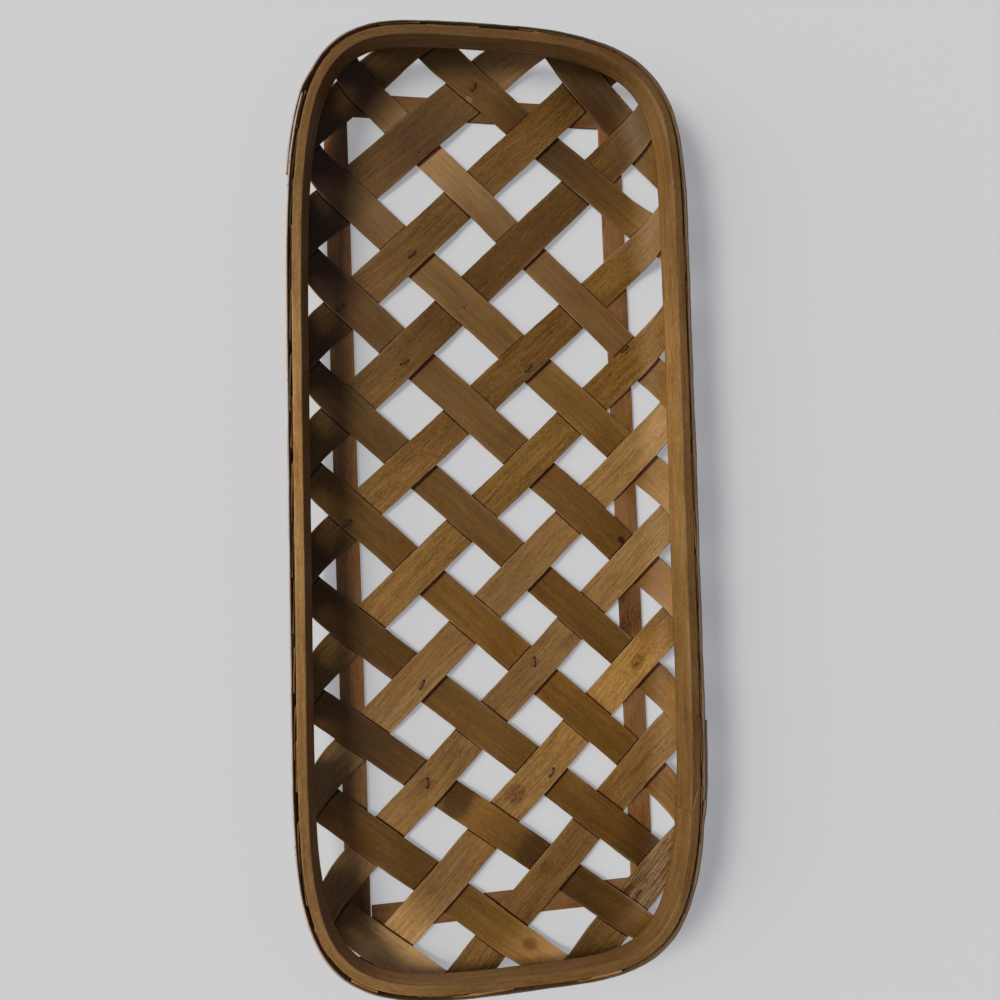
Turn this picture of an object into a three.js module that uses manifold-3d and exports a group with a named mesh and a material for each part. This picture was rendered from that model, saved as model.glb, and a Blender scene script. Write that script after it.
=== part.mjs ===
// Tobacco basket: a shallow tray of splints woven on the bias, turned up into a bent hoop.
// Millimetres, +Z up, mouth upwards. Length along Y, width along X.
// The origin is the middle of the footprint, on the flat undersides of the four slats.

import * as THREE from "three";
import { mergeVertices } from "three/addons/utils/BufferGeometryUtils.js";
import Module from "manifold-3d";

const wasm = await Module();
wasm.setup();

// Overall sizes, over the outer bands at the mouth
const LENGTH = 912;
const WIDTH = 393;
const DEPTH = 60;
// How far the hand-bent rim leans off square: the far end lies this much to the right of the middle
const RACK = 6.5;

// Each corner of the rim is a quarter of a superellipse. Higher numbers make flatter sides:
// "end" for the short end edge, "side" for the long side edge.
const CORNERS = {
  farRight: { end: 2.7, side: 10.5 },
  farLeft: { end: 4.4, side: 6.1 },
  nearLeft: { end: 3.4, side: 8.3 },
  nearRight: { end: 4.6, side: 6.3 },
};
// The rim's facets end where its outward direction has turned this far, in degrees, from square
const FACET_TURNS = [0.8, 5, 13, 25, 39, 53, 67, 79, 87];

// The hoop of thick bent wood inside the rim, and the two thin bands round its outside
const HOOP_THICKNESS = 9;
const HOOP_HEIGHT = 24;
const HOOP_SCARF = 36;
const HOOP_SCARF_Y = -291;
const BAND_THICKNESS = 2;
const BAND_HEIGHT = 23;
const BAND_LAP = 76;
const BAND_LAP_RAMP = 26;
// Where the outer end of each band stops: the far band on the left, the near band on the right
const FAR_BAND_END_Y = 300;
const NEAR_BAND_END_Y = -222;

// The walls lean outwards by these angles, in degrees
const SIDE_FLARE = 16;
const END_FLARE = 4;
// Height over which a splint bends from the bottom into the wall, and the number of facets there
const BEND_HEIGHT = 23;
const BEND_FACETS = 3;

// Splints: "rising" ones run up to the right as seen from above, "falling" ones down to the right
const SPLINT_THICKNESS = 1.5;
const SPLINT_WIDTH = 35;
const SPLINT_LEAN = 43;
// Splints of each family on either side of the one that crosses the middle, number 0. The last one
// would cross the long middle line this far past the mouth's end.
const SPLINTS_EACH_SIDE = 5;
const LAST_SPLINT_PAST_END = 66;
// How far below the mouth the splints were trimmed, the spread of that trimming by hand, and how
// it steps from one splint to the next
const TRIM_DEPTH = 2.2;
const TRIM_SPREAD = 1.4;
const TRIM_STEPS = { rising: 0.37, falling: 0.61 };
// A splint lies flat a little past the edge of the one that it crosses
const CROSSING_MARGIN = 0.6;
// What the weaver's hand changed, by a splint's number from the middle: place along Y, lean, width
const RISING_HAND = {
  5: { place: -2 },
  4: { width: 8, lean: -1.7 },
  3: { place: 3, width: 2 },
  2: { place: 9, width: 2 },
  1: { lean: -1.7 },
  0: { place: -2, lean: -1, width: -1 },
  "-1": { place: 5 },
  "-2": { place: 4, lean: 1, width: -1 },
  "-3": { place: 4, lean: 1.5 },
  "-4": { place: 4, lean: 2 },
  "-5": { place: -9, lean: 2 },
};
const FALLING_HAND = {
  5: { place: 39, lean: 6, width: 2 },
  4: { lean: -3.6, width: -1 },
  3: { place: -17, lean: 1.6, width: -3 },
  2: { place: -31, width: 1 },
  1: { place: -32, width: 1 },
  0: { place: -37, width: -1 },
  "-1": { place: -32, width: -1 },
  "-2": { place: -26, lean: -3 },
  "-3": { place: -11, lean: -5.6, width: -3 },
  "-4": { place: -4, lean: -3.7 },
  "-5": { place: 3, lean: -4 },
};

// Four flat slats under the weave, their outer edges this far inside the start of the bend
const SLAT_WIDTH = 24;
const SLAT_THICKNESS = 3;
const SLAT_SIDE_INSET = 0;
const SLAT_END_INSET = 19.5;

// Wire staples, their crowns seen from above and their legs down through the pieces
const STAPLE_CROWN = 9.5;
const STAPLE_WIRE = 1.1;
const STAPLE_FOOT = 3.4;
// Wood left under a staple's legs in a slat, and how deep they go into the hoop
const STAPLE_SLAT_COVER = 1;
const STAPLE_HOOP_DEPTH = 4;
// Staples through the weave, each on a splint: by the middle of the splint that it crosses or by the
// slat that it passes over, then along it and aside from its middle, turned by "turn" degrees from X.
// Legs end in the slat with "into", and are turned over under the weave otherwise.
const WEAVE_STAPLES = [
  { on: "rising 4", by: "far_slat", along: 35, aside: 0, turn: 59 },
  { on: "rising 3", by: "falling 2", along: 1, aside: -6, turn: 43 },
  { on: "rising 3", by: "left_slat", along: 3, aside: 4, turn: 39, into: "left_slat" },
  { on: "rising 2", by: "falling 1", along: -8, aside: -5, turn: 28 },
  { on: "rising 1", by: "falling 2", along: -4, aside: -10, turn: 45 },
  { on: "rising 0", by: "right_slat", along: 21, aside: 15, turn: 43, into: "right_slat" },
  { on: "rising 1", by: "left_slat", along: 0, aside: -1, turn: 39, into: "left_slat" },
  { on: "rising -2", by: "falling -1", along: 7, aside: 4, turn: 92 },
  { on: "rising -1", by: "falling -2", along: -3, aside: -7, turn: 62 },
  { on: "rising -2", by: "falling -3", along: -2, aside: 2, turn: 88 },
  { on: "rising -3", by: "falling -2", along: 6, aside: -9, turn: 63 },
];
// Staples round the rim, through bands and splints into the hoop: this far below the mouth, the first
// one of each long side by a band's outer end, then on by steps, and a pair in each short end. Each is
// driven at most the shift away from there, where it keeps clear of the splints' edges.
const RIM_STAPLE_DROP = 8;
const RIM_STAPLE_SHIFT = 16;
const RIM_STAPLE_FROM_BAND_END = 22;
const RIM_STAPLE_STEP = 157;
const RIM_STAPLES_LEFT = 5;
const RIM_STAPLES_RIGHT = 4;
const RIM_STAPLES_END_X = 72;

// Clearance left between pieces that touch
const GAP = 0.3;
// Points closer than this are one point, in the flat pattern of a splint
const SNAP = 0.02;

// Finishes
const HOOP_FINISH = { color: 0x7d5a33, roughness: 0.62, metalness: 0 };
const BAND_FINISH = { color: 0x5f452b, roughness: 0.7, metalness: 0 };
const RISING_FINISH = { color: 0x6a4a26, roughness: 0.6, metalness: 0 };
const FALLING_FINISH = { color: 0x5d4227, roughness: 0.6, metalness: 0 };
const SLAT_FINISH = { color: 0x5e3c22, roughness: 0.65, metalness: 0 };
const STAPLE_FINISH = { color: 0x3a332c, roughness: 0.5, metalness: 0.8 };

const radians = THREE.MathUtils.degToRad;
const lerp = THREE.MathUtils.lerp;

// Heights of the weave: two layers of splint over the slats
const LAYER = (SPLINT_THICKNESS + GAP) / 2;
const WEAVE_BOTTOM = SLAT_THICKNESS + GAP;
const WEAVE_MIDDLE = WEAVE_BOTTOM + SPLINT_THICKNESS / 2 + LAYER;
const WEAVE_TOP = WEAVE_MIDDLE + LAYER + SPLINT_THICKNESS / 2;
const BEND_TOP = WEAVE_MIDDLE + BEND_HEIGHT;
// From the middle of the woven wall to the faces of the hoop and the bands
const CHANNEL = LAYER + SPLINT_THICKNESS / 2 + GAP;
const RIM_SIDE = CHANNEL + BAND_THICKNESS;

// The rim's outline

function cornerPoint(shape, halfWidth, halfLength, turn) {
  // the point of one corner where the outward direction has turned this far from +X
  const steepness = Math.tan(radians(turn));
  let low = 0;
  let high = Math.PI / 2;
  for (let step = 0; step < 60; step += 1) {
    const t = (low + high) / 2;
    const along = (shape.side / halfLength) * Math.sin(t) ** (2 - 2 / shape.side);
    const across = (shape.end / halfWidth) * Math.cos(t) ** (2 - 2 / shape.end);
    if (along < steepness * across) {
      low = t;
    } else {
      high = t;
    }
  }
  return [
    halfWidth * Math.cos(low) ** (2 / shape.end),
    halfLength * Math.sin(low) ** (2 / shape.side),
  ];
}

function rimVertices() {
  // corners of the wall's faceted middle at the mouth, anticlockwise from the right
  const halfWidth = WIDTH / 2 - RIM_SIDE;
  const halfLength = LENGTH / 2 - RIM_SIDE;
  const back = [...FACET_TURNS].reverse();
  const quarters = [
    { shape: CORNERS.farRight, x: 1, y: 1, turns: FACET_TURNS },
    { shape: CORNERS.farLeft, x: -1, y: 1, turns: back },
    { shape: CORNERS.nearLeft, x: -1, y: -1, turns: FACET_TURNS },
    { shape: CORNERS.nearRight, x: 1, y: -1, turns: back },
  ];
  const vertices = [];
  for (const quarter of quarters) {
    for (const turn of quarter.turns) {
      const [x, y] = cornerPoint(quarter.shape, halfWidth, halfLength, turn);
      const lean = (RACK * quarter.y * y) / halfLength;
      vertices.push(new THREE.Vector2(quarter.x * x + lean, quarter.y * y));
    }
  }
  return vertices;
}

const rim = rimVertices();

function bendRadiusFor(flare) {
  return BEND_HEIGHT / (1 - Math.sin(flare));
}

function runFor(flare) {
  // how far the wall reaches out from the start of the bend to the mouth
  return bendRadiusFor(flare) * Math.cos(flare) + (DEPTH - BEND_TOP) * Math.tan(flare);
}

function makeFacet(from, to) {
  // a flat stretch of wall: its outward direction, its place at the mouth and its lean
  const along = to.clone().sub(from).normalize();
  const out = new THREE.Vector2(along.y, -along.x);
  const flare = radians(END_FLARE + (SIDE_FLARE - END_FLARE) * out.x * out.x);
  const mouth = out.dot(from);
  const bendStart = mouth - runFor(flare);
  return { from, to, along, out, flare, bendRadius: bendRadiusFor(flare), mouth, bendStart };
}

const facets = rim.map((from, index) => makeFacet(from, rim[(index + 1) % rim.length]));

function wallPlace(facet, z) {
  // how far out the middle of the woven wall lies on a facet, at a height
  if (z >= BEND_TOP) {
    return facet.mouth - (DEPTH - z) * Math.tan(facet.flare);
  }
  const turned = Math.acos(1 - (z - WEAVE_MIDDLE) / facet.bendRadius);
  return facet.bendStart + facet.bendRadius * Math.sin(turned);
}

function meet(facetA, placeA, facetB, placeB) {
  // the point where two facets' lines cross, each at its own distance out
  const cross = facetA.out.cross(facetB.out);
  return new THREE.Vector2(
    (placeA * facetB.out.y - placeB * facetA.out.y) / cross,
    (placeB * facetA.out.x - placeA * facetB.out.x) / cross,
  );
}

// The folds that every splint shares: the start of the bend, its facets, and the wall's top

function foldHeights() {
  const fullTurn = radians(90 - (SIDE_FLARE + END_FLARE) / 2);
  const heights = [];
  for (let fold = 0; fold <= BEND_FACETS; fold += 1) {
    const turned = (fullTurn * fold) / BEND_FACETS;
    heights.push(WEAVE_MIDDLE + (BEND_HEIGHT * (1 - Math.cos(turned))) / (1 - Math.cos(fullTurn)));
  }
  heights.push(DEPTH - TRIM_DEPTH);
  return heights;
}

const folds = foldHeights();

function profileOf(facet) {
  // the wall in section on one facet, with the flattened distance of each fold from the bend's start
  const points = folds.map((z) => new THREE.Vector2(wallPlace(facet, z), z));
  const normals = points.slice(1).map((point, index) => {
    const run = point.clone().sub(points[index]).normalize();
    return new THREE.Vector2(-run.y, run.x);
  });
  normals.unshift(new THREE.Vector2(0, 1));
  normals.push(normals[normals.length - 1]);
  let flat = facet.bendStart;
  return points.map((point, index) => {
    if (index > 0) {
      flat += point.distanceTo(points[index - 1]);
    }
    const before = normals[index];
    const after = normals[index + 1];
    const mitre = before.clone().add(after).divideScalar(1 + before.dot(after));
    return { place: point.x, z: point.y, flat, mitre };
  });
}

const profiles = facets.map(profileOf);

function foldCorner(index, fold) {
  // where a fold turns from one facet to the next: flat on the bench, and bent up
  const last = (index + facets.length - 1) % facets.length;
  const a = profiles[last][fold];
  const b = profiles[index][fold];
  const flat = meet(facets[last], a.flat, facets[index], b.flat);
  const bent = meet(facets[last], a.place, facets[index], b.place);
  const lift = meet(facets[last], a.mitre.x, facets[index], b.mitre.x);
  return {
    flat,
    bent: new THREE.Vector3(bent.x, bent.y, a.z),
    lift: new THREE.Vector3(lift.x, lift.y, (a.mitre.y + b.mitre.y) / 2),
  };
}

const foldCorners = facets.map((facet, index) => folds.map((z, fold) => foldCorner(index, fold)));

function wallCell(index, fold) {
  // one flat patch of wall, between two folds on one facet
  const next = (index + 1) % facets.length;
  const near = [foldCorners[index][fold], foldCorners[next][fold]];
  const far = [foldCorners[index][fold + 1], foldCorners[next][fold + 1]];
  const start = profiles[index][fold].flat;
  const end = profiles[index][fold + 1].flat;
  const place = (p) => {
    const v = (facets[index].out.dot(p) - start) / (end - start);
    const left = near[0].flat.clone().lerp(far[0].flat, v);
    const right = near[1].flat.clone().lerp(far[1].flat, v);
    const u = facets[index].along.dot(p.clone().sub(left)) / facets[index].along.dot(right.sub(left));
    const mix = (key) => {
      const one = near[0][key].clone().lerp(far[0][key], v);
      const two = near[1][key].clone().lerp(far[1][key], v);
      return one.lerp(two, u);
    };
    return { bent: mix("bent"), lift: mix("lift") };
  };
  return {
    outline: [near[1].flat, near[0].flat, far[0].flat, far[1].flat],
    trimmed: fold === folds.length - 2,
    out: facets[index].out,
    start,
    end,
    place,
  };
}

const bottomCell = {
  outline: foldCorners.map((corners) => corners[0].flat),
  trimmed: false,
  place: (p) => ({
    bent: new THREE.Vector3(p.x, p.y, WEAVE_MIDDLE),
    lift: new THREE.Vector3(0, 0, 1),
  }),
};

const wallCells = [];
for (let fold = 0; fold < folds.length - 1; fold += 1) {
  facets.forEach((facet, index) => wallCells.push(wallCell(index, fold)));
}
// the wall's patches come first, so that points on the bend's start are lifted with the wall
const cells = [...wallCells, bottomCell];

// Laying out the splints

const splintPitch = (LENGTH / 2 + LAST_SPLINT_PAST_END) / SPLINTS_EACH_SIDE;

function numbered(name, number) {
  return `${name}_${String(number).padStart(2, "0")}`;
}

function makeSplint(family, number) {
  // a straight strip on the bench, by the place where it crosses the long middle line
  const hand = (family === "rising" ? RISING_HAND : FALLING_HAND)[number] ?? {};
  const tilt = radians(SPLINT_LEAN + (hand.lean ?? 0)) * (family === "rising" ? 1 : -1);
  const up = new THREE.Vector2(-Math.sin(tilt), Math.cos(tilt));
  return {
    family,
    number,
    name: numbered(`${family}_splint`, SPLINTS_EACH_SIDE - number + 1),
    up,
    middle: up.y * (number * splintPitch + (hand.place ?? 0)),
    half: (SPLINT_WIDTH + (hand.width ?? 0)) / 2,
  };
}

const rising = [];
const falling = [];
for (let number = SPLINTS_EACH_SIDE; number >= -SPLINTS_EACH_SIDE; number -= 1) {
  rising.push(makeSplint("rising", number));
  falling.push(makeSplint("falling", number));
}

function layerAt(splint, others, p) {
  // the layer of a splint at a flat point: +1 over, -1 under, in between where it changes over
  const side = (other) => {
    const risingOver = (splint.number + other.number) % 2 !== 0;
    return risingOver === (splint.family === "rising") ? 1 : -1;
  };
  const heights = others.map((other) => other.up.dot(p) - other.middle);
  const below = heights.findIndex((height) => height > 0);
  if (below === 0) {
    return side(others[0]);
  }
  if (below < 0) {
    return side(others[others.length - 1]);
  }
  const above = below - 1;
  const pastAbove = -heights[above] - others[above].half - CROSSING_MARGIN;
  const beforeBelow = heights[below] - others[below].half - CROSSING_MARGIN;
  if (pastAbove <= 0) {
    return side(others[above]);
  }
  if (beforeBelow <= 0) {
    return side(others[below]);
  }
  return lerp(side(others[above]), side(others[below]), pastAbove / (pastAbove + beforeBelow));
}

// Cutting the flat pattern of a splint

function splitPolygon(polygon, normal, distance) {
  // the parts of a convex polygon below and above a line
  const parts = { below: [], above: [] };
  const heights = polygon.map((p) => {
    const height = normal.dot(p) - distance;
    return Math.abs(height) < SNAP ? 0 : height;
  });
  polygon.forEach((p, index) => {
    const next = (index + 1) % polygon.length;
    if (heights[index] <= 0) {
      parts.below.push(p);
    }
    if (heights[index] >= 0) {
      parts.above.push(p);
    }
    if (heights[index] * heights[next] < 0) {
      const share = heights[index] / (heights[index] - heights[next]);
      const cut = p.clone().lerp(polygon[next], share);
      parts.below.push(cut);
      parts.above.push(cut);
    }
  });
  if (heights.every((height) => height >= 0)) {
    parts.below = [];
  }
  if (heights.every((height) => height <= 0)) {
    parts.above = [];
  }
  return parts;
}

function trimAmount(splint) {
  // every splint was trimmed by hand, so the ends are uneven
  const steps = (SPLINTS_EACH_SIDE - splint.number) * TRIM_STEPS[splint.family];
  return TRIM_SPREAD * (steps % 1);
}

function splintPattern(splint, others) {
  // the splint's flat shape, cut along every fold and along every edge that it crosses
  const pieces = [];
  for (const cell of cells) {
    let polygon = cell.outline;
    polygon = splitPolygon(polygon, splint.up, splint.middle + splint.half).below;
    if (polygon.length > 2) {
      polygon = splitPolygon(polygon, splint.up, splint.middle - splint.half).above;
    }
    if (polygon.length > 2 && cell.trimmed) {
      const share = 1 - trimAmount(splint) / (cell.end - cell.start);
      polygon = splitPolygon(polygon, cell.out, lerp(cell.start, cell.end, share)).below;
    }
    if (polygon.length < 3) {
      continue;
    }
    let parts = [polygon];
    for (const other of others) {
      for (const edge of [-1, 1]) {
        const line = other.middle + edge * (other.half + CROSSING_MARGIN);
        const next = [];
        for (const part of parts) {
          const { below, above } = splitPolygon(part, other.up, line);
          next.push(...[below, above].filter((piece) => piece.length > 2));
        }
        parts = next;
      }
    }
    parts.forEach((outline) => pieces.push({ outline, place: cell.place }));
  }
  return pieces;
}

function splintGeometry(splint, others) {
  const points = [];
  const upper = [];
  const lower = [];
  const find = (p, place) => {
    const known = points.findIndex((point) => point.distanceTo(p) < SNAP / 2);
    if (known >= 0) {
      return known;
    }
    const { bent, lift } = place(p);
    const layer = layerAt(splint, others, p) * LAYER;
    points.push(p);
    upper.push(bent.clone().addScaledVector(lift, layer + SPLINT_THICKNESS / 2));
    lower.push(bent.clone().addScaledVector(lift, layer - SPLINT_THICKNESS / 2));
    return points.length - 1;
  };
  const triangles = [];
  const edges = new Map();
  for (const { outline, place } of splintPattern(splint, others)) {
    const found = outline.map((p) => find(p, place));
    const loop = found.filter((id, at) => id !== found[(at + 1) % found.length]);
    for (let at = 1; at + 1 < loop.length; at += 1) {
      triangles.push([loop[0], loop[at], loop[at + 1]]);
    }
    loop.forEach((id, at) => {
      const next = loop[(at + 1) % loop.length];
      if (edges.has(`${next} ${id}`)) {
        edges.delete(`${next} ${id}`);
      } else {
        edges.set(`${id} ${next}`, [id, next]);
      }
    });
  }
  const count = points.length;
  const positions = [...upper, ...lower].flatMap((v) => v.toArray());
  const faces = [];
  for (const [a, b, c] of triangles) {
    faces.push(a, b, c);
    faces.push(count + a, count + c, count + b);
  }
  for (const [a, b] of edges.values()) {
    faces.push(a, count + a, count + b);
    faces.push(a, count + b, b);
  }
  return meshFrom(positions, faces);
}

function meshFrom(positions, faces) {
  const geometry = new THREE.BufferGeometry();
  geometry.setAttribute("position", new THREE.Float32BufferAttribute(positions, 3));
  geometry.setIndex(faces);
  geometry.computeVertexNormals();
  return geometry;
}

// Rings of the rim: a bar carried round the outline

function ringPoint(at, z, out) {
  // at: a place round the outline, a whole number at each corner of it
  // out: the distance outwards from the middle of the woven wall
  const index = Math.floor(at) % facets.length;
  const corner = (k) => {
    const last = (k + facets.length - 1) % facets.length;
    const here = k % facets.length;
    return meet(
      facets[last],
      wallPlace(facets[last], z) + out,
      facets[here],
      wallPlace(facets[here], z) + out,
    );
  };
  const point = corner(index).lerp(corner(index + 1), at - Math.floor(at));
  return new THREE.Vector3(point.x, point.y, z);
}

function ringGeometry(stations, closed) {
  // stations: [{ at, inner, outer, bottom, top }], with the bar's four edges at each
  const positions = [];
  for (const { at, inner, outer, bottom, top } of stations) {
    for (const [z, out] of [[bottom, inner], [bottom, outer], [top, outer], [top, inner]]) {
      positions.push(...ringPoint(at, z, out).toArray());
    }
  }
  const faces = [];
  const count = stations.length;
  const spans = closed ? count : count - 1;
  for (let span = 0; span < spans; span += 1) {
    const here = 4 * span;
    const next = 4 * ((span + 1) % count);
    for (let side = 0; side < 4; side += 1) {
      const turn = (side + 1) % 4;
      faces.push(here + side, next + side, next + turn);
      faces.push(here + side, next + turn, here + turn);
    }
  }
  if (!closed) {
    const end = 4 * (count - 1);
    faces.push(0, 1, 2, 0, 2, 3);
    faces.push(end, end + 2, end + 1, end, end + 3, end + 2);
  }
  return meshFrom(positions, faces);
}

function placeOnSide(side, y) {
  // the place round the outline where the right (+1) or left (-1) side reaches this y
  const index = facets.findIndex(({ from, to }) => {
    const between = (from.y - y) * (to.y - y) <= 0;
    return between && Math.sign(from.x) === side;
  });
  const { from, to } = facets[index];
  return index + (y - from.y) / (to.y - from.y);
}

// Solid work with cuts

function solidOf(geometry) {
  const bare = new THREE.BufferGeometry();
  bare.setAttribute("position", geometry.getAttribute("position").clone());
  if (geometry.index) {
    bare.setIndex(geometry.index.clone());
  }
  const merged = mergeVertices(bare, 1e-5);
  return new wasm.Manifold(new wasm.Mesh({
    numProp: 3,
    vertProperties: new Float32Array(merged.getAttribute("position").array),
    triVerts: new Uint32Array(merged.index.array),
  }));
}

function geometryOf(solid) {
  const mesh = solid.getMesh();
  return meshFrom(Array.from(mesh.vertProperties), Array.from(mesh.triVerts));
}

// The pieces, by name

const pieces = new Map();

function addPiece(name, geometry, finish) {
  pieces.set(name, { geometry, finish });
}

rising.forEach((splint) => addPiece(splint.name, splintGeometry(splint, falling), RISING_FINISH));
falling.forEach((splint) => addPiece(splint.name, splintGeometry(splint, rising), FALLING_FINISH));

// Slats: two long ones at the sides, with two short ones between their ends

const slatFrameX = WIDTH / 2 - RIM_SIDE - runFor(radians(SIDE_FLARE)) - SLAT_SIDE_INSET;
const slatFrameY = LENGTH / 2 - RIM_SIDE - runFor(radians(END_FLARE)) - SLAT_END_INSET;
const slatX = slatFrameX - SLAT_WIDTH / 2;
const slatY = slatFrameY - SLAT_WIDTH / 2;
const shortSlat = 2 * (slatFrameX - SLAT_WIDTH - GAP);
const slats = {
  left_slat: { x: -slatX, y: 0, width: SLAT_WIDTH, length: 2 * slatFrameY },
  right_slat: { x: slatX, y: 0, width: SLAT_WIDTH, length: 2 * slatFrameY },
  far_slat: { x: 0, y: slatY, width: shortSlat, length: SLAT_WIDTH },
  near_slat: { x: 0, y: -slatY, width: shortSlat, length: SLAT_WIDTH },
};
for (const [name, { x, y, width, length }] of Object.entries(slats)) {
  const slat = new THREE.BoxGeometry(width, length, SLAT_THICKNESS);
  addPiece(name, slat.translate(x, y, SLAT_THICKNESS / 2), SLAT_FINISH);
}

// Inner hoop: one bar bent round until its tapered ends lie against each other

function hoopGeometry() {
  const stations = facets.map((_, index) => ({
    at: index,
    inner: -CHANNEL - HOOP_THICKNESS,
    outer: -CHANNEL,
    bottom: DEPTH - HOOP_HEIGHT,
    top: DEPTH,
  }));
  const ring = solidOf(ringGeometry(stations, true));
  const at = placeOnSide(1, HOOP_SCARF_Y);
  const middle = ringPoint(at, DEPTH - HOOP_HEIGHT / 2, -CHANNEL - HOOP_THICKNESS / 2);
  const along = facets[Math.floor(at)].along;
  const taper = -Math.atan2(HOOP_THICKNESS, HOOP_SCARF);
  const saw = new THREE.BoxGeometry(GAP, 4 * HOOP_SCARF, 2 * HOOP_HEIGHT);
  saw.rotateZ(Math.atan2(-along.x, along.y) + taper);
  saw.translate(middle.x, middle.y, middle.z);
  return geometryOf(ring.subtract(solidOf(saw)));
}

addPiece("inner_hoop", hoopGeometry(), HOOP_FINISH);

// Outer bands: each starts against the splints and ends lapped over the start of the other

const round = facets.length;
const farBand = {
  start: placeOnSide(1, NEAR_BAND_END_Y - BAND_LAP),
  lap: placeOnSide(-1, FAR_BAND_END_Y + BAND_LAP),
  end: placeOnSide(-1, FAR_BAND_END_Y),
};
const nearBand = {
  start: farBand.lap,
  lap: farBand.start,
  end: placeOnSide(1, NEAR_BAND_END_Y),
};
// the far band starts low on the right side, and its numbering goes on past a full round
farBand.lap += farBand.lap < farBand.start ? round : 0;
farBand.end += farBand.end < farBand.start ? round : 0;
nearBand.lap += nearBand.lap < nearBand.start ? round : 0;
nearBand.end += nearBand.end < nearBand.start ? round : 0;

function bandLift({ lap }, at) {
  // how far a band has climbed over the other one: all of it from the lap's start
  const facet = facets[Math.floor(lap) % round];
  const millimetres = (lap - at) * facet.from.distanceTo(facet.to);
  const share = 1 - THREE.MathUtils.clamp((millimetres - 2 * GAP) / BAND_LAP_RAMP, 0, 1);
  return share * (BAND_THICKNESS + GAP);
}

function bandGeometry(band) {
  const facet = facets[Math.floor(band.lap) % round];
  const perMillimetre = 1 / facet.from.distanceTo(facet.to);
  const lifted = band.lap - 2 * GAP * perMillimetre;
  const places = [band.start, lifted - BAND_LAP_RAMP * perMillimetre, lifted, band.end];
  for (let at = Math.ceil(band.start); at < band.end; at += 1) {
    places.push(at);
  }
  places.sort((a, b) => a - b);
  const stations = places.map((at) => {
    const inner = CHANNEL + bandLift(band, at);
    return {
      at,
      inner,
      outer: inner + BAND_THICKNESS,
      bottom: DEPTH - BAND_HEIGHT,
      top: DEPTH - GAP,
    };
  });
  return ringGeometry(stations, false);
}

addPiece("far_band", bandGeometry(farBand), BAND_FINISH);
addPiece("near_band", bandGeometry(nearBand), BAND_FINISH);

// Staples

function stapleGeometry(depth, foot) {
  // a flat wire bent to a U, its crown's underside at 0 and its legs down, with feet turned in
  const half = STAPLE_CROWN / 2;
  const inside = half - STAPLE_WIRE;
  const shape = new THREE.Shape();
  shape.moveTo(-half, 0);
  shape.lineTo(-half, -depth);
  if (foot > 0) {
    shape.lineTo(-half + foot, -depth);
    shape.lineTo(-half + foot, -depth + STAPLE_WIRE);
  }
  shape.lineTo(-inside, -depth + (foot > 0 ? STAPLE_WIRE : 0));
  shape.lineTo(-inside, 0);
  shape.lineTo(inside, 0);
  if (foot > 0) {
    shape.lineTo(inside, -depth + STAPLE_WIRE);
    shape.lineTo(half - foot, -depth + STAPLE_WIRE);
    shape.lineTo(half - foot, -depth);
  } else {
    shape.lineTo(inside, -depth);
  }
  shape.lineTo(half, -depth);
  shape.lineTo(half, 0);
  shape.quadraticCurveTo(half, STAPLE_WIRE, inside, STAPLE_WIRE);
  shape.lineTo(-inside, STAPLE_WIRE);
  shape.quadraticCurveTo(-half, STAPLE_WIRE, -half, 0);
  const settings = { depth: STAPLE_WIRE, bevelEnabled: false, curveSegments: 3 };
  return new THREE.ExtrudeGeometry(shape, settings).translate(0, 0, -STAPLE_WIRE / 2);
}

function legHoles(depth, split) {
  // the holes that the two legs sit in. A splint splits from them to its end, "split" away.
  const wide = STAPLE_WIRE + 2 * GAP;
  return [-1, 1].map((side) => {
    const hole = new THREE.BoxGeometry(wide, depth + 2 * GAP, wide + split);
    return hole.translate((side * (STAPLE_CROWN - STAPLE_WIRE)) / 2, -depth / 2, -split / 2);
  });
}

const solids = new Map();
for (const [name, { geometry }] of pieces) {
  solids.set(name, solidOf(geometry));
}
const splintNames = [...rising, ...falling].map(({ name }) => name);
const staples = [];

function cutAll(names, hole) {
  const cutter = solidOf(hole);
  for (const name of names) {
    if (solids.get(name).intersect(cutter).volume() > 0) {
      solids.set(name, solids.get(name).subtract(cutter));
      pieces.get(name).cut = true;
    }
  }
}

function driveStaple(name, frame, depth, foot, split) {
  // cuts the two leg holes in every piece in their way, and puts the staple in
  const others = [...solids.keys()].filter((other) => !splintNames.includes(other));
  legHoles(depth, split).forEach((hole) => cutAll(splintNames, hole.applyMatrix4(frame)));
  legHoles(depth, 0).forEach((hole) => cutAll(others, hole.applyMatrix4(frame)));
  staples.push({ name, geometry: stapleGeometry(depth, foot).applyMatrix4(frame) });
}

function splintNamed(words) {
  // such as "rising 3"
  const [family, number] = words.split(" ");
  return (family === "rising" ? rising : falling).find((splint) => splint.number === Number(number));
}

function meetingOf(splint, by) {
  // where the middle of a splint meets the middle of another one, or of a slat
  if (!slats[by]) {
    const other = splintNamed(by);
    return meet({ out: splint.up }, splint.middle, { out: other.up }, other.middle);
  }
  const across = slats[by].width < slats[by].length ? new THREE.Vector2(1, 0) : new THREE.Vector2(0, 1);
  const middle = across.dot(new THREE.Vector2(slats[by].x, slats[by].y));
  return meet({ out: splint.up }, splint.middle, { out: across }, middle);
}

function topAt(p) {
  // the height of the weave's upper side at a point of the bottom
  const tops = [[rising, falling], [falling, rising]].map(([family, others]) => {
    const here = family.find(({ up, middle, half }) => Math.abs(up.dot(p) - middle) < half);
    return here ? WEAVE_MIDDLE + layerAt(here, others, p) * LAYER + SPLINT_THICKNESS / 2 : 0;
  });
  return Math.max(...tops);
}

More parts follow.
